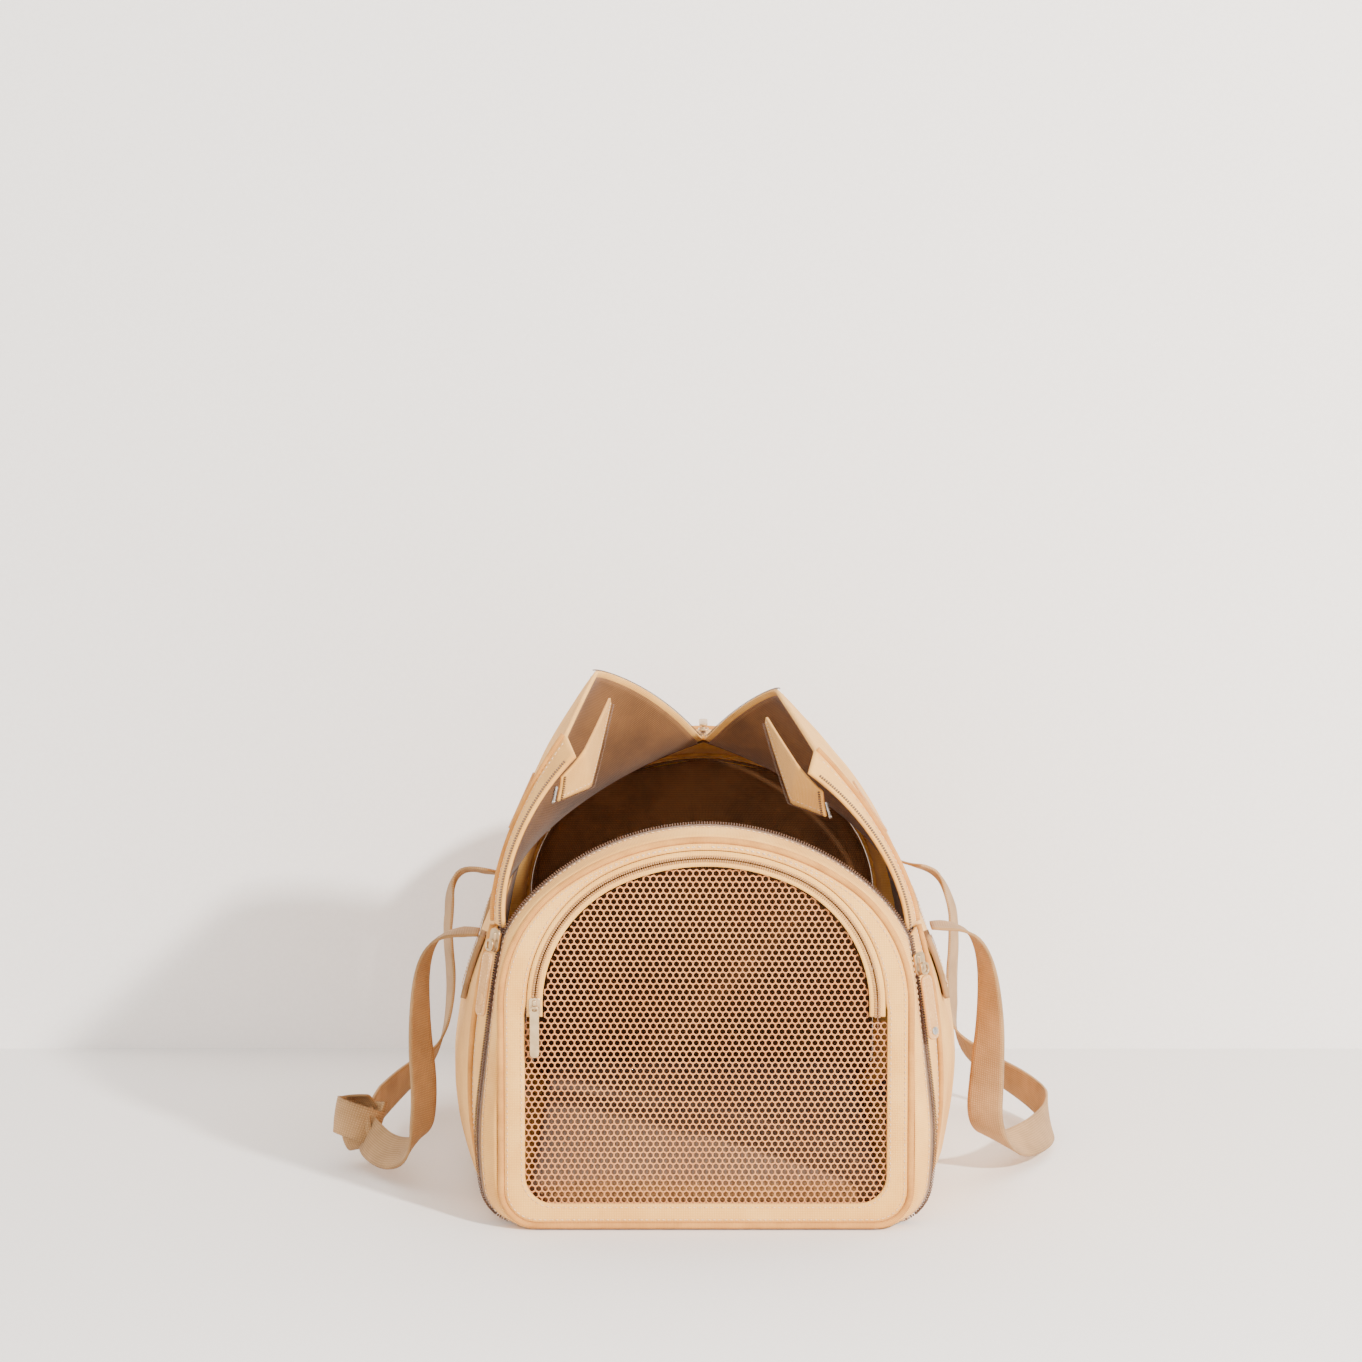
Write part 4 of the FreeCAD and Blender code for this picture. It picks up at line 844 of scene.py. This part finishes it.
def border(bm, outer, inner, y, thickness, cushion, facing, rows=7):
    """A flat band between two lines of equal count, a little cushioned across."""
    cloth = bm.loops.layers.uv.get("cloth") or bm.loops.layers.uv.new("cloth")
    outer = np.asarray(outer, float)
    inner = np.asarray(inner, float)
    front = []
    back = []
    for j in range(rows + 1):
        v = j / rows
        rise = cushion * (1 - (2 * v - 1) ** 4)
        line = outer * (1 - v) + inner * v
        front.append([bm.verts.new((x, y + facing * (thickness / 2 + rise), z)) for x, z in line])
        back.append([bm.verts.new((x, y - facing * thickness / 2, z)) for x, z in line])

    def lay(a, b, flip):
        for i in range(len(a) - 1):
            corners = (a[i], a[i + 1], b[i + 1], b[i])
            face = bm.faces.new(corners[::-1] if flip else corners)
            for loop in face.loops:
                loop[cloth].uv = (loop.vert.co.x, loop.vert.co.z)

    for j in range(rows):
        lay(front[j], front[j + 1], False)
        lay(back[j], back[j + 1], True)
    lay(back[0], front[0], False)
    lay(front[-1], back[-1], False)
    for i in (0, -1):
        for j in range(rows):
            face = bm.faces.new((front[j][i], front[j + 1][i], back[j + 1][i], back[j][i]))
            for loop in face.loops:
                loop[cloth].uv = (loop.vert.co.y, loop.vert.co.z)


door_arch = arch_points(0.109, 0.090, 0.146, 0.240)
window_low = np.concatenate([[(0.0, 0.017)], arc_points(0.1155 - 0.018, 0.035, 0.018, -math.pi / 2, 0, 16),
                             [(0.1155, 0.142)]])


def border_lines():
    """The outer and inner edges of the border, matched by their share of the way round."""
    outer = inset(outer_arch, 0.0044)
    outer[0][0] = outer[-1][0] = 0.0
    low = outer[outer[:, 1] < 0.146]
    high = outer[outer[:, 1] >= 0.146]
    door = inset(door_arch, -0.0052)
    door[-1][0] = 0.0
    lower = spaced(window_low, 60)
    upper = spaced(np.concatenate([[(0.1155, 0.142)], door[1:]]), 70)
    return (np.concatenate([spaced(low, 60), spaced(np.concatenate([low[-1:], high]), 70)[1:]]),
            np.concatenate([lower, upper[1:]]))


border_outer, border_inner = border_lines()
bm = bmesh.new()
both_outer = np.concatenate([border_outer[::-1] * (-1, 1), border_outer[1:]])
both_inner = np.concatenate([border_inner[::-1] * (-1, 1), border_inner[1:]])
border(bm, both_outer, both_inner, FRONT + BORDER / 2, 0.0018, 0.0006, -1)
bmesh.ops.remove_doubles(bm, verts=bm.verts, dist=1e-6)
bmesh.ops.recalc_face_normals(bm, faces=bm.faces)
front_border = make_piece("front_border", bm, canvas)
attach(front_border, "front_panel")
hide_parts("front_frame")
row = stand(inset(both_outer[1:-1], 0.0018), FRONT - 0.0003)
stitches(row, (0, -1, 0), "front_border_outer_stitching", "front_panel", thread=thread_tan)
row = stand(inset(both_inner[1:-1], -0.0022), FRONT - 0.0003)
stitches(row, (0, -1, 0), "front_border_inner_stitching", "front_panel", thread=thread_tan)


def honeycomb(bm, inside, box, y, pitch=0.0042, gauge=0.00112):
    """Knitted hexagonal mesh: rounded bars round six-sided holes, cut to an outline."""
    low_x, high_x, low_z, high_z = box
    side = pitch / math.sqrt(3)
    rows = int((high_z - low_z) / (1.5 * side)) + 2
    columns = int((high_x - low_x) / pitch) + 2
    corners = {}

    def corner(x, z):
        key = (round(x * 2e5), round(z * 2e5))
        if key not in corners:
            corners[key] = (x, z)
        return key

    bars = set()
    for r in range(-1, rows):
        for c in range(-1, columns):
            cx = low_x + (c + 0.5 * (r % 2)) * pitch
            cz = low_z + r * 1.5 * side
            ring = [corner(cx + side * math.sin(k * math.pi / 3), cz + side * math.cos(k * math.pi / 3))
                    for k in range(6)]
            for k in range(6):
                bars.add(tuple(sorted((ring[k], ring[(k + 1) % 6]))))
    kept = [(corners[a], corners[b]) for a, b in bars if inside(*corners[a]) and inside(*corners[b])]
    for (ax, az), (bx, bz) in sorted(kept):
        dx, dz = bx - ax, bz - az
        run = math.hypot(dx, dz)
        dx, dz = dx / run, dz / run
        nx, nz = -dz, dx
        ends = []
        for px, pz, half in ((ax, az, 1.25), ((ax + bx) / 2, (az + bz) / 2, 0.8), (bx, bz, 1.25)):
            spread = gauge * half / 2
            ends.append([bm.verts.new((px + nx * s * spread, y - t * gauge * 0.45, pz + nz * s * spread))
                         for s, t in ((1, 0), (0.55, 1), (-0.55, 1), (-1, 0))])
        join_rings(bm, ends)


def inside_outline(points):
    """A test for being inside a symmetric outline, given by its half width at each height."""
    order = np.argsort(points[:, 1])
    heights = points[order, 1]
    halves = np.abs(points[order, 0])
    return lambda x, z: heights[0] <= z <= heights[-1] and abs(x) <= np.interp(z, heights, halves)


def mesh_knit():
    """Polyester mesh: matt, pinkish tan, lighter where the bars catch the light."""
    material = new_material("polyester_mesh_knitted")
    place = add(material, "TexCoord").outputs["Object"]
    fibre = add(material, "TexNoise", {"Vector": place, "Scale": 1800.0, "Detail": 2.0})
    broad = add(material, "TexNoise", {"Vector": place, "Scale": 18.0})
    share = add(material, "Math", {0: fibre.outputs["Fac"], 1: broad.outputs["Fac"]}, operation="MULTIPLY")
    tint = add(material, "Mix", {0: share.outputs[0], 6: linear("#bf7740"), 7: linear("#f2b577")},
               data_type="RGBA")
    bump = add(material, "Bump", {"Height": fibre.outputs["Fac"], "Strength": 0.4, "Distance": 0.0001})
    return finish_material(material, add(material, "BsdfPrincipled", {
        "Base Color": tint.outputs[2], "Roughness": 0.8, "Sheen Weight": 0.05, "Normal": bump.outputs[0]}))


mesh_yarn = mesh_knit()
MESH_HALF = 0.1175
MESH_FOOT = 0.0155
MESH_TOP = 0.1365
MESH_Y = FRONT + 0.0026
bm = bmesh.new()
honeycomb(bm, inside_outline(np.array([(MESH_HALF, MESH_FOOT), (MESH_HALF, MESH_TOP)])),
          (-MESH_HALF, MESH_HALF, MESH_FOOT, MESH_TOP), MESH_Y)
bmesh.ops.recalc_face_normals(bm, faces=bm.faces)
lower_mesh = make_piece("window_mesh_front", bm, mesh_yarn)
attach(lower_mesh, "front_panel")
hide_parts("front_mesh_lower")

# --- Door ----------------------------------------------------------------------------------
# The upper half of the front panel: mesh with a zipper round its arch, which folds down
# outwards over its lower edge. Its mesh lies on the lattice of the lower window's.
door_edge = inset(door_arch, 0.0054)
door_edge[-1][0] = 0.0
door_outline = np.concatenate([[(door_edge[0][0], 0.1340)], door_edge])
bm = bmesh.new()
honeycomb(bm, inside_outline(door_outline), (-MESH_HALF, MESH_HALF, MESH_FOOT, 0.236), MESH_Y)
bmesh.ops.recalc_face_normals(bm, faces=bm.faces)
door_mesh = make_piece("door_mesh_knit", bm, mesh_yarn)
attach(door_mesh, "front_door")
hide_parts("door_mesh")


def door_line(distance):
    """The door's arch at a distance outside its zipper line, left foot to right foot."""
    half = inset(door_arch, -distance)
    half[-1][0] = 0.0
    half = np.concatenate([[(half[0][0], 0.1385)], half])
    return spaced(np.concatenate([half * (-1, 1), half[-2::-1]]), 240)


for name, low, high, body, node in (("door_tape_frame", 0.0005, 0.0050, "front_panel", "door_tape_outer"),
                                    ("door_tape_leaf", -0.0050, -0.0005, "front_door", "door_tape_inner")):
    bm = bmesh.new()
    border(bm, door_line(high), door_line(low), FRONT - 0.0004, 0.0008, 0.0001, -1, rows=3)
    bmesh.ops.recalc_face_normals(bm, faces=bm.faces)
    tape = make_piece(name, bm, canvas)
    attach(tape, body)
    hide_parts(node)
for name, offset, toward, body, node in (("door_teeth_frame", 0.0012, 1, "front_panel", "door_coil_outer"),
                                         ("door_teeth_leaf", -0.0012, -1, "front_door", "door_coil_inner")):
    line = door_line(offset)
    run = np.gradient(line, axis=0)
    toward_row = np.stack([run[:, 1], 0 * run[:, 0], -run[:, 0]], axis=1) * toward
    row = teeth(name, stand(line, FRONT - 0.0008), (0, -1, 0), toward_row, coil_tan, body,
                pitch=0.0015, width=0.0019, height=0.0012, nodes=[node])

# --- Rear panel -----------------------------------------------------------------------------
# The same arch at the back: a padded canvas border round one lined sheet of canvas, with no door.
REAR = 0.225
rear_low = np.concatenate([[(0.0, 0.026)], arc_points(0.111 - 0.018, 0.044, 0.018, -math.pi / 2, 0, 16)])
rear_window = arch_points(0.111, 0.076, 0.146, 0.232)
rear_upper = np.concatenate([[rear_low[-1]], rear_window])
rear_inner = np.concatenate([spaced(rear_low, 60), spaced(rear_upper, 70)[1:]])
bm = bmesh.new()
both_rear = np.concatenate([rear_inner[::-1] * (-1, 1), rear_inner[1:]])
border(bm, both_outer, both_rear, REAR - BORDER / 2, 0.0018, 0.0006, 1)
bmesh.ops.remove_doubles(bm, verts=bm.verts, dist=1e-6)
bmesh.ops.recalc_face_normals(bm, faces=bm.faces)
rear_border = make_piece("rear_border", bm, canvas)
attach(rear_border, "bag")
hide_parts("rear_frame")
for name, line, aside in (("rear_border_outer_stitching", both_outer, 0.0018),
                          ("rear_border_inner_stitching", both_rear, -0.0022)):
    stitches(stand(inset(line[1:-1], aside), REAR + 0.0003), (0, 1, 0), name, "bag", thread=thread_tan)


def plate(outline, y, thickness, material, name):
    """A flat cloth panel cut to a symmetric outline, very slightly uneven."""
    order = np.argsort(outline[:, 1])
    heights = outline[order, 1]
    halves = np.abs(outline[order, 0])

    def place(u, v):
        z = heights[0] + (heights[-1] - heights[0]) * v
        half = max(np.interp(z, heights, halves), 0.002)
        wave = 0.0006 * noise.noise(Vector((u * 5, v * 5, 2.0)))
        return Vector(((2 * u - 1) * half, y + wave, z))

    bm = cloth_grid(36, 26, place, lambda u, v: (u * 0.22, v * 0.21))
    thicken(bm, thickness)
    return make_piece(name, bm, material)


rear_fill = border_outer[(border_outer[:, 1] > 0.008) & (border_outer[:, 0] > 0.004)] * (0.985, 0.995)
for name, y, material, kind in (("rear_panel_canvas", REAR - 0.0028, canvas, "canvas"),
                                ("rear_panel_lining", REAR - 0.0050, lining_cloth, "lining")):
    cloth_piece = plate(rear_fill, y, 0.0009, material, name)
    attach(cloth_piece, "bag")
    if material is canvas:
        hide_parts("rear_cloth")

# The boards that keep the end panels flat are sewn into sleeves of lining cloth.
for node, body in (("front_stiffener", "front_panel"), ("rear_stiffener", "bag")):
    bm = eased_copy(node, 0.0005, 2, 1)
    bmesh.ops.triangulate(bm, faces=bm.faces)
    map_cloth(bm)
    sleeve = make_piece(node + "_sleeve", bm, lining_cloth, smooth=False)
    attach(sleeve, body)
    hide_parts(node)

# --- Roof behind the flaps ------------------------------------------------------------------
# Fixed canvas from the flaps' rear edge to the rear rim, lined with the same brown cloth.


def roof_over(y):
    """Over the roof only, from the right fold to the left one."""
    right = section(y, 1)
    return np.concatenate([right, right[-2::-1] * (-1, 1)])


bm = loft(roof_over, (0.0628, 0.1768), 36, 100, out=-0.0015, ripple=0.0014, seed=3.1, span=(0.004, 0.996))
thicken(bm, 0.0028)
roof_rear = make_piece("roof_canvas", bm, canvas)
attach(roof_rear, "bag")
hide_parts("top_rear_panel")
bm = loft(roof_over, (0.0635, 0.1760), 24, 70, out=-0.0042, span=(0.01, 0.99))
thicken(bm, 0.0008)
roof_lining = make_piece("roof_lining", bm, lining_cloth)
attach(roof_lining, "bag")
row = raised(roof_over, 0.0665, 0.0)
stitches(row, outwards(row), "roof_front_stitching", "bag", thread=thread_tan)
coil_line = np.array([(0.0, y, section(y, 1)[-1][1] + 0.0004) for y in np.linspace(0.066, 0.146, 40)])
for name, x, toward in (("roof_coil_right", 0.0008, (-1, 0, 0)), ("roof_coil_left", -0.0008, (1, 0, 0))):
    row = teeth(name, coil_line + (x, 0, 0), (0, 0, 1), toward, coil_brown, "bag", height=0.0014,
                nodes=["top_coil"] if x > 0 else [])

# --- Flaps ------------------------------------------------------------------------------------
# The roof's two leaves, standing open. Each is canvas outside and brown lining inside, with the
# rim piping and a row of zipper coil on its front edge, and its front corner turned in.
CREASE = 0.031
CREASE_END = -0.060
CREASE_DEPTH = 0.009
FLAP_END = 0.061
FLAP_FRONT = -0.2028


def crease_x(y):
    if y >= CREASE_END:
        return 0.0008
    return 0.0008 + (CREASE - 0.0008) * min((CREASE_END - y) / (CREASE_END + RIM_Y), 1.0)


def roof_height(y, x):
    line = section(y, 1)
    return float(np.interp(-x, -line[:, 0], line[:, 1]))


def roof_at(y, x, depth):
    """A point of the closed roof's right half, at a depth under its outside."""
    z = roof_height(y, x)
    step = 0.002
    slope = (roof_height(y, x + step) - roof_height(y, max(x - step, 0))) / (x + step - max(x - step, 0))
    fall = Vector((-slope, 0, 1)).normalized()
    return Vector((x, y, z)) - fall * depth


def opening_of(sign, degrees):
    """Swings a closed flap open about its fold: fully in front, and not at all at its rear end,
    where it stays sewn to the roof."""
    centre = Matrix.Translation((sign * FOLD[0], 0, FOLD[1]))

    def at(y):
        share = min(max((FLAP_END - y) / (FLAP_END - CREASE_END), 0.0), 1.0)
        share = share * share * (3 - 2 * share)
        return centre @ Matrix.Rotation(math.radians(sign * degrees * share), 4, "Y") @ centre.inverted()

    return at


def bend_with(piece, name):
    """Bakes the piece's placement into its mesh."""
    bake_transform(piece)


def turn_of(sign, degrees):
    """Turns a flap's corner in about its crease."""
    ends = [Vector((sign * crease_x(y), y, roof_height(y, crease_x(y)) - CREASE_DEPTH))
            for y in (-RIM_Y, CREASE_END)]
    centre = Matrix.Translation(ends[0])
    turn = Matrix.Rotation(math.radians(-sign * degrees), 4, ends[1] - ends[0])
    return centre @ turn @ centre.inverted()


def at_any_y(turn):
    return lambda y: turn


def leaf(sign, moves, ys, reach, depth, columns, rows, seed=0.0, ripple=0.0):
    """A sheet cut from one half of the roof and moved into place. reach gives its two edges'
    distances from the middle at each y."""
    def place(u, v):
        y = ys[0] + (ys[1] - ys[0]) * u
        near, far = reach(y)
        x = near + (far - near) * v
        point = roof_at(y, x, depth)
        if ripple:
            edge = min(1.0, 8 * min(v, 1 - v), 8 * min(u, 1 - u))
            point.z += ripple * edge * (noise.noise(Vector((y * 12, x * 16, seed)))
                                        + 0.4 * noise.noise(Vector((y * 40, x * 45, seed + 3))))
        point.x *= sign
        return moves(y) @ point

    return cloth_grid(columns, rows, place, lambda u, v: (u * abs(ys[1] - ys[0]), v * 0.15))


def roof_line(sign, moves, spots, depth):
    """Points of the roof at the given (y, x), with the outward direction at each."""
    points = []
    ups = []
    for y, x in spots:
        point = roof_at(y, x, depth)
        above = roof_at(y, x, depth - 0.002)
        point.x *= sign
        above.x *= sign
        points.append(moves(y) @ point)
        ups.append((moves(y) @ above) - points[-1])
    return np.array(points), np.array(ups)


def edge_line(sign, moves, y_range, x, depth, count=80):
    return roof_line(sign, moves, [(y, x) for y in np.linspace(*y_range, count)], depth)


def across_line(sign, moves, y, x_range, depth, count=60):
    return roof_line(sign, moves, [(y, x) for x in np.linspace(*x_range, count)], depth)


def flap_reach(hem):
    """A flap's edges, from its fold to its crease, with a hem left off each."""
    return lambda y: (section(y, 1)[0][0] - hem[0], crease_x(y) + hem[1])


def tip_reach(y):
    """A turned-in corner's edges, from its crease to the roof's middle."""
    return max(crease_x(y) - 0.0006 - 0.4 * max(-RIM_Y - y, 0.0), 0.0022), 0.0018


TIP_END = CREASE_END - 0.024
for name, sign, degrees, turn in (("right", 1, 23, 130), ("left", -1, 32.5, 139)):
    swing = opening_of(sign, degrees)
    fold = at_any_y(swing(CREASE_END) @ turn_of(sign, turn))
    flap_body = "flap_" + name
    tip_body = "tip_" + name

    bm = leaf(sign, swing, (FLAP_FRONT, FLAP_END), flap_reach((0.001, 0.0006)), 0.0013, 70, 44,
              seed=sign * 2.0, ripple=0.002)
    thicken(bm, 0.0025)
    leaf_piece = make_piece("flap_canvas_" + name, bm, canvas)
    bend_with(leaf_piece, name)
    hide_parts("flap_" + name)
    bm = leaf(sign, swing, (FLAP_FRONT + 0.004, FLAP_END - 0.002), flap_reach((0.004, 0.004)), 0.0034,
              60, 36, seed=sign * 2.0, ripple=0.0012)
    thicken(bm, 0.0009)
    inner = make_piece("flap_lining_" + name, bm, lining_cloth)
    bend_with(inner, name)
    line, ups = across_line(sign, swing, -RIM_Y, (0.1355, CREASE + 0.001), -0.0002)
    bead = make_piece("flap_piping_" + name, tube(line, PIPING_RADIUS, (0, 1, 0)), piping_cloth)
    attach(bead, flap_body)
    line, ups = across_line(sign, swing, SEAM_STITCH_Y, (0.134, CREASE + 0.003), -0.0001)
    stitches(line, ups, "flap_stitching_" + name, flap_body, thread=thread_tan)
    line, ups = across_line(sign, swing, COIL_Y, (0.131, CREASE + 0.008), 0.0)
    row = teeth("flap_coil_" + name, line, ups, (0, -1, 0), coil_brown, flap_body)
    line, ups = edge_line(sign, swing, (CREASE_END + 0.002, FLAP_END - 0.001), 0.0018, 0.0)
    row = teeth("flap_middle_coil_" + name, line, ups, (-sign, 0, 0), coil_brown, None)
    bend_with(row, name)
    line, ups = edge_line(sign, swing, (CREASE_END + 0.002, FLAP_END - 0.003), 0.0065, -0.0001)
    row = stitches(line, ups, "flap_middle_stitching_" + name, None, thread=thread_tan)
    bend_with(row, name)

    bm = leaf(sign, fold, (FLAP_FRONT, TIP_END), tip_reach, 0.0009, 34, 10)
    thicken(bm, 0.0016)
    corner = make_piece("flap_corner_" + name, bm, canvas)
    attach(corner, tip_body)
    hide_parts("flap_tip_" + name)
    line, ups = across_line(sign, fold, COIL_Y, (0.021, 0.003), 0.0, 24)
    row = teeth("corner_coil_" + name, line, ups, (0, -1, 0), coil_brown, tip_body)
    line, ups = edge_line(sign, fold, (FLAP_FRONT + 0.002, TIP_END - 0.002), 0.0022, 0.0)
    row = teeth("corner_middle_coil_" + name, line, ups, (-sign, 0, 0), coil_brown, tip_body)
    line, ups = edge_line(sign, fold, (FLAP_FRONT + 0.002, TIP_END - 0.004), 0.0055, -0.0001)
    stitches(line, ups, "corner_stitching_" + name, tip_body, thread=thread_tan)

# --- Handle ends --------------------------------------------------------------------------------
# Each end of a handle is folded under and sewn to the side with a crossed box of stitches.


def side_at(y, height, out):
    """A point of the right side at a height, with its outward direction."""
    line = section(y, 0)
    i = int(np.argmax(line[:, 1] >= height))
    run = line[i] - line[i - 1]
    run /= np.linalg.norm(run)
    share = (height - line[i - 1][1]) / (line[i][1] - line[i - 1][1])
    x = line[i - 1][0] + (line[i][0] - line[i - 1][0]) * share
    return np.array((x + run[1] * out, y, height - run[0] * out)), np.array((run[1], 0, -run[0]))


for side, sign in (("right", 1), ("left", -1)):
    for end, y in (("front", -0.112), ("rear", 0.112)):
        line = np.array([side_at(y, h, 0.0022)[0] * (sign, 1, 1) for h in np.linspace(0.172, 0.131, 22)])
        patch = ribbon("handle_end_%s_%s" % (side, end), line, [(0, 1, 0)] * len(line), STRAP_WIDTH,
                       2 * STRAP_THICKNESS, webbing_cotton, cup=0.0003)
        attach(patch, "bag")
        if (side, end) == ("right", "front"):
            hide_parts("strap_anchors")
        corners = [(-0.010, 0.169), (-0.010, 0.136), (0.010, 0.136), (0.010, 0.169), (-0.010, 0.169),
                   (0.010, 0.136), (0.010, 0.1365), (-0.010, 0.169), (0.010, 0.169), (-0.010, 0.136)]
        thread_path = []
        ups = []
        for (ay, az), (by, bz) in zip(corners, corners[1:]):
            for share in np.linspace(0, 1, 12)[:-1]:
                point, up = side_at(y + ay + (by - ay) * share, az + (bz - az) * share, 0.0041)
                thread_path.append(point * (sign, 1, 1))
                ups.append(up * (sign, 1, 1))
        stitches(np.array(thread_path), np.array(ups), "handle_end_stitching_%s_%s" % (side, end), "bag",
                 spacing=0.0026, length=0.0019, thread=thread_tan)

# --- Metal sliders ---------------------------------------------------------------------------------
# Cast zinc sliders with a brushed gold-tan plating, the D rings that carry their pulls, the clips
# at the flap corners and the rivet.


def plated_metal(name, low, high, roughness):
    """Zinc alloy die casting, plated: fine brush lines and slight pitting."""
    material = new_material(name)
    place = add(material, "TexCoord").outputs["Object"]
    drawn = add(material, "Mapping", {"Vector": place, "Scale": (900.0, 900.0, 60.0)})
    brush = add(material, "TexNoise", {"Vector": drawn.outputs[0], "Scale": 1.0, "Detail": 4.0})
    patch = add(material, "TexNoise", {"Vector": place, "Scale": 160.0, "Detail": 2.0})
    tint = add(material, "Mix", {0: patch.outputs["Fac"], 6: linear(low), 7: linear(high)}, data_type="RGBA")
    rough = add(material, "MapRange", {"Value": brush.outputs["Fac"], "To Min": roughness,
                                       "To Max": roughness + 0.2})
    bump = add(material, "Bump", {"Height": brush.outputs["Fac"], "Strength": 0.15, "Distance": 0.0001})
    return finish_material(material, add(material, "BsdfPrincipled", {
        "Base Color": tint.outputs[2], "Metallic": 1.0, "Roughness": rough.outputs[0],
        "Normal": bump.outputs[0]}))


slider_plating = plated_metal("zinc_casting_tan_plated", "#a98a63", "#dcc096", 0.26)
steel = plated_metal("steel_nickel_plated", "#8f8c88", "#d8d5d0", 0.18)


node_body = {"slider_left": "slider_left", "slider_right": "slider_right", "top_slider": "top_slider",
             "door_slider": "door_slider", "pull_ring_left": "pull_left", "pull_ring_right": "pull_right",
             "top_pull": "top_pull", "door_pull": "door_pull", "flap_clip_left": "tip_left",
             "flap_clip_right": "tip_right", "pull_rivet_right": "pull_right"}
for node, body in node_body.items():
    metal = steel if node in ("flap_clip_left", "flap_clip_right", "pull_rivet_right") else slider_plating
    bm = eased_copy(node, 0.0003, 3, 2)
    bmesh.ops.recalc_face_normals(bm, faces=bm.faces)
    piece = make_piece(node + "_finished", bm, metal)
    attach(piece, body)
    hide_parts(node)

# --- Leather --------------------------------------------------------------------------------------
# Vegetable-tanned leather, stitched: the two long pulls and the oval patches on the flaps.


def leather(name, low, high):
    """Smooth grain leather: a pebbled grain with darker creases."""
    material = new_material(name)
    place = add(material, "TexCoord").outputs["Object"]
    grain = add(material, "TexVoronoi", {"Vector": place, "Scale": 1100.0}, feature="SMOOTH_F1")
    pore = add(material, "TexNoise", {"Vector": place, "Scale": 240.0, "Detail": 5.0})
    both = add(material, "Math", {0: grain.outputs["Distance"], 1: pore.outputs["Fac"]}, operation="MULTIPLY")
    tint = add(material, "Mix", {0: both.outputs[0], 6: linear(low), 7: linear(high)}, data_type="RGBA")
    bump = add(material, "Bump", {"Height": grain.outputs["Distance"], "Strength": 0.35, "Distance": 0.0002})
    return finish_material(material, add(material, "BsdfPrincipled", {
        "Base Color": tint.outputs[2], "Roughness": 0.48, "Specular IOR Level": 0.4,
        "Normal": bump.outputs[0]}))


tan_leather = leather("leather_vegetable_tanned", "#bd8548", "#f0bf7c")


def pull_frame(joint, down):
    """A hanging pull's directions: its bar's middle, then across, down and outwards."""
    down = Vector(down).normalized()
    axis = Vector(joint["axis"]).normalized()
    out = down.cross(axis).normalized()
    if out.y > 0:
        out = -out
    return Vector(joint["pos_m"]), -axis if axis.x < 0 else axis, down, out


def leather_pull(name, joint, down, body, node, inlay):
    """A pull: a strip of leather with round ends, thinner at its edge, and stitched round."""
    origin, across, down, out = pull_frame(joint, down)
    low = 0.0074
    half = 0.005
    length = 0.042

    def outline(shrink):
        points = []
        radius = half * 0.84 - shrink
        for cx, cd, start in ((half * 0.16, length - half * 0.84, 0), (-half * 0.16, length - half * 0.84, 1),
                              (-half * 0.16, half * 0.84, 2), (half * 0.16, half * 0.84, 3)):
            for k in range(9):
                angle = math.pi / 2 * (start + k / 8)
                points.append((cx + radius * math.cos(angle), cd + radius * math.sin(angle)))
        return points

    bm = bmesh.new()
    rings = []
    for shrink, rise in ((0.0012, -0.0009), (0.0, -0.0006), (0.0, 0.0006), (0.0004, 0.00095),
                         (0.0014, 0.0011)):
        rings.append([bm.verts.new(origin + across * x + down * (low + d) + out * rise)
                      for x, d in outline(shrink)])
    join_rings(bm, rings)
    bm.faces.new(rings[0])
    bm.faces.new(rings[-1])
    bmesh.ops.recalc_face_normals(bm, faces=bm.faces)
    tab = make_piece(name, bm, tan_leather)
    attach(tab, body)
    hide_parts(node)
    edge = [origin + across * x + down * (low + d) + out * 0.00105 for x, d in outline(0.0013)]
    stitches(np.array([p[:] for p in edge + edge[:1]]), np.array(out[:]), name + "_stitching", body,
             spacing=0.0022, length=0.0015, width=0.0004, thread=thread_tan)
    if inlay:
        bm = bmesh.new()
        rings = []
        for size, rise in ((1.0, 0.0008), (1.0, 0.0014), (0.82, 0.0017)):
            rings.append([bm.verts.new(origin + across * 0.0026 * size * math.cos(a)
                                       + down * (low + 0.031 + 0.0042 * size * math.sin(a)) + out * rise)
                          for a in (2 * math.pi * k / 24 for k in range(24))])
        join_rings(bm, rings)
        bm.faces.new(rings[-1])
        bmesh.ops.recalc_face_normals(bm, faces=bm.faces)
        oval = make_piece(name + "_inset", bm, tan_leather)
        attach(oval, body)


swings = {joint["name"]: joint for joint in frame["joints"]}
leather_pull("pull_left_leather", swings["pull_left_swing"], (-0.1401, 0, -0.9901), "pull_left",
             "pull_tab_left", True)
leather_pull("pull_right_leather", swings["pull_right_swing"], (0.1401, 0, -0.9901), "pull_right",
             "pull_tab_right", False)
for side in ("left", "right"):
    node = "flap_patch_" + side
    bm = eased_copy(node, 0.0004, 3, 2)
    bmesh.ops.recalc_face_normals(bm, faces=bm.faces)
    patch = make_piece("flap_oval_" + side, bm, tan_leather)
    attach(patch, "flap_" + side)
    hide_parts(node)
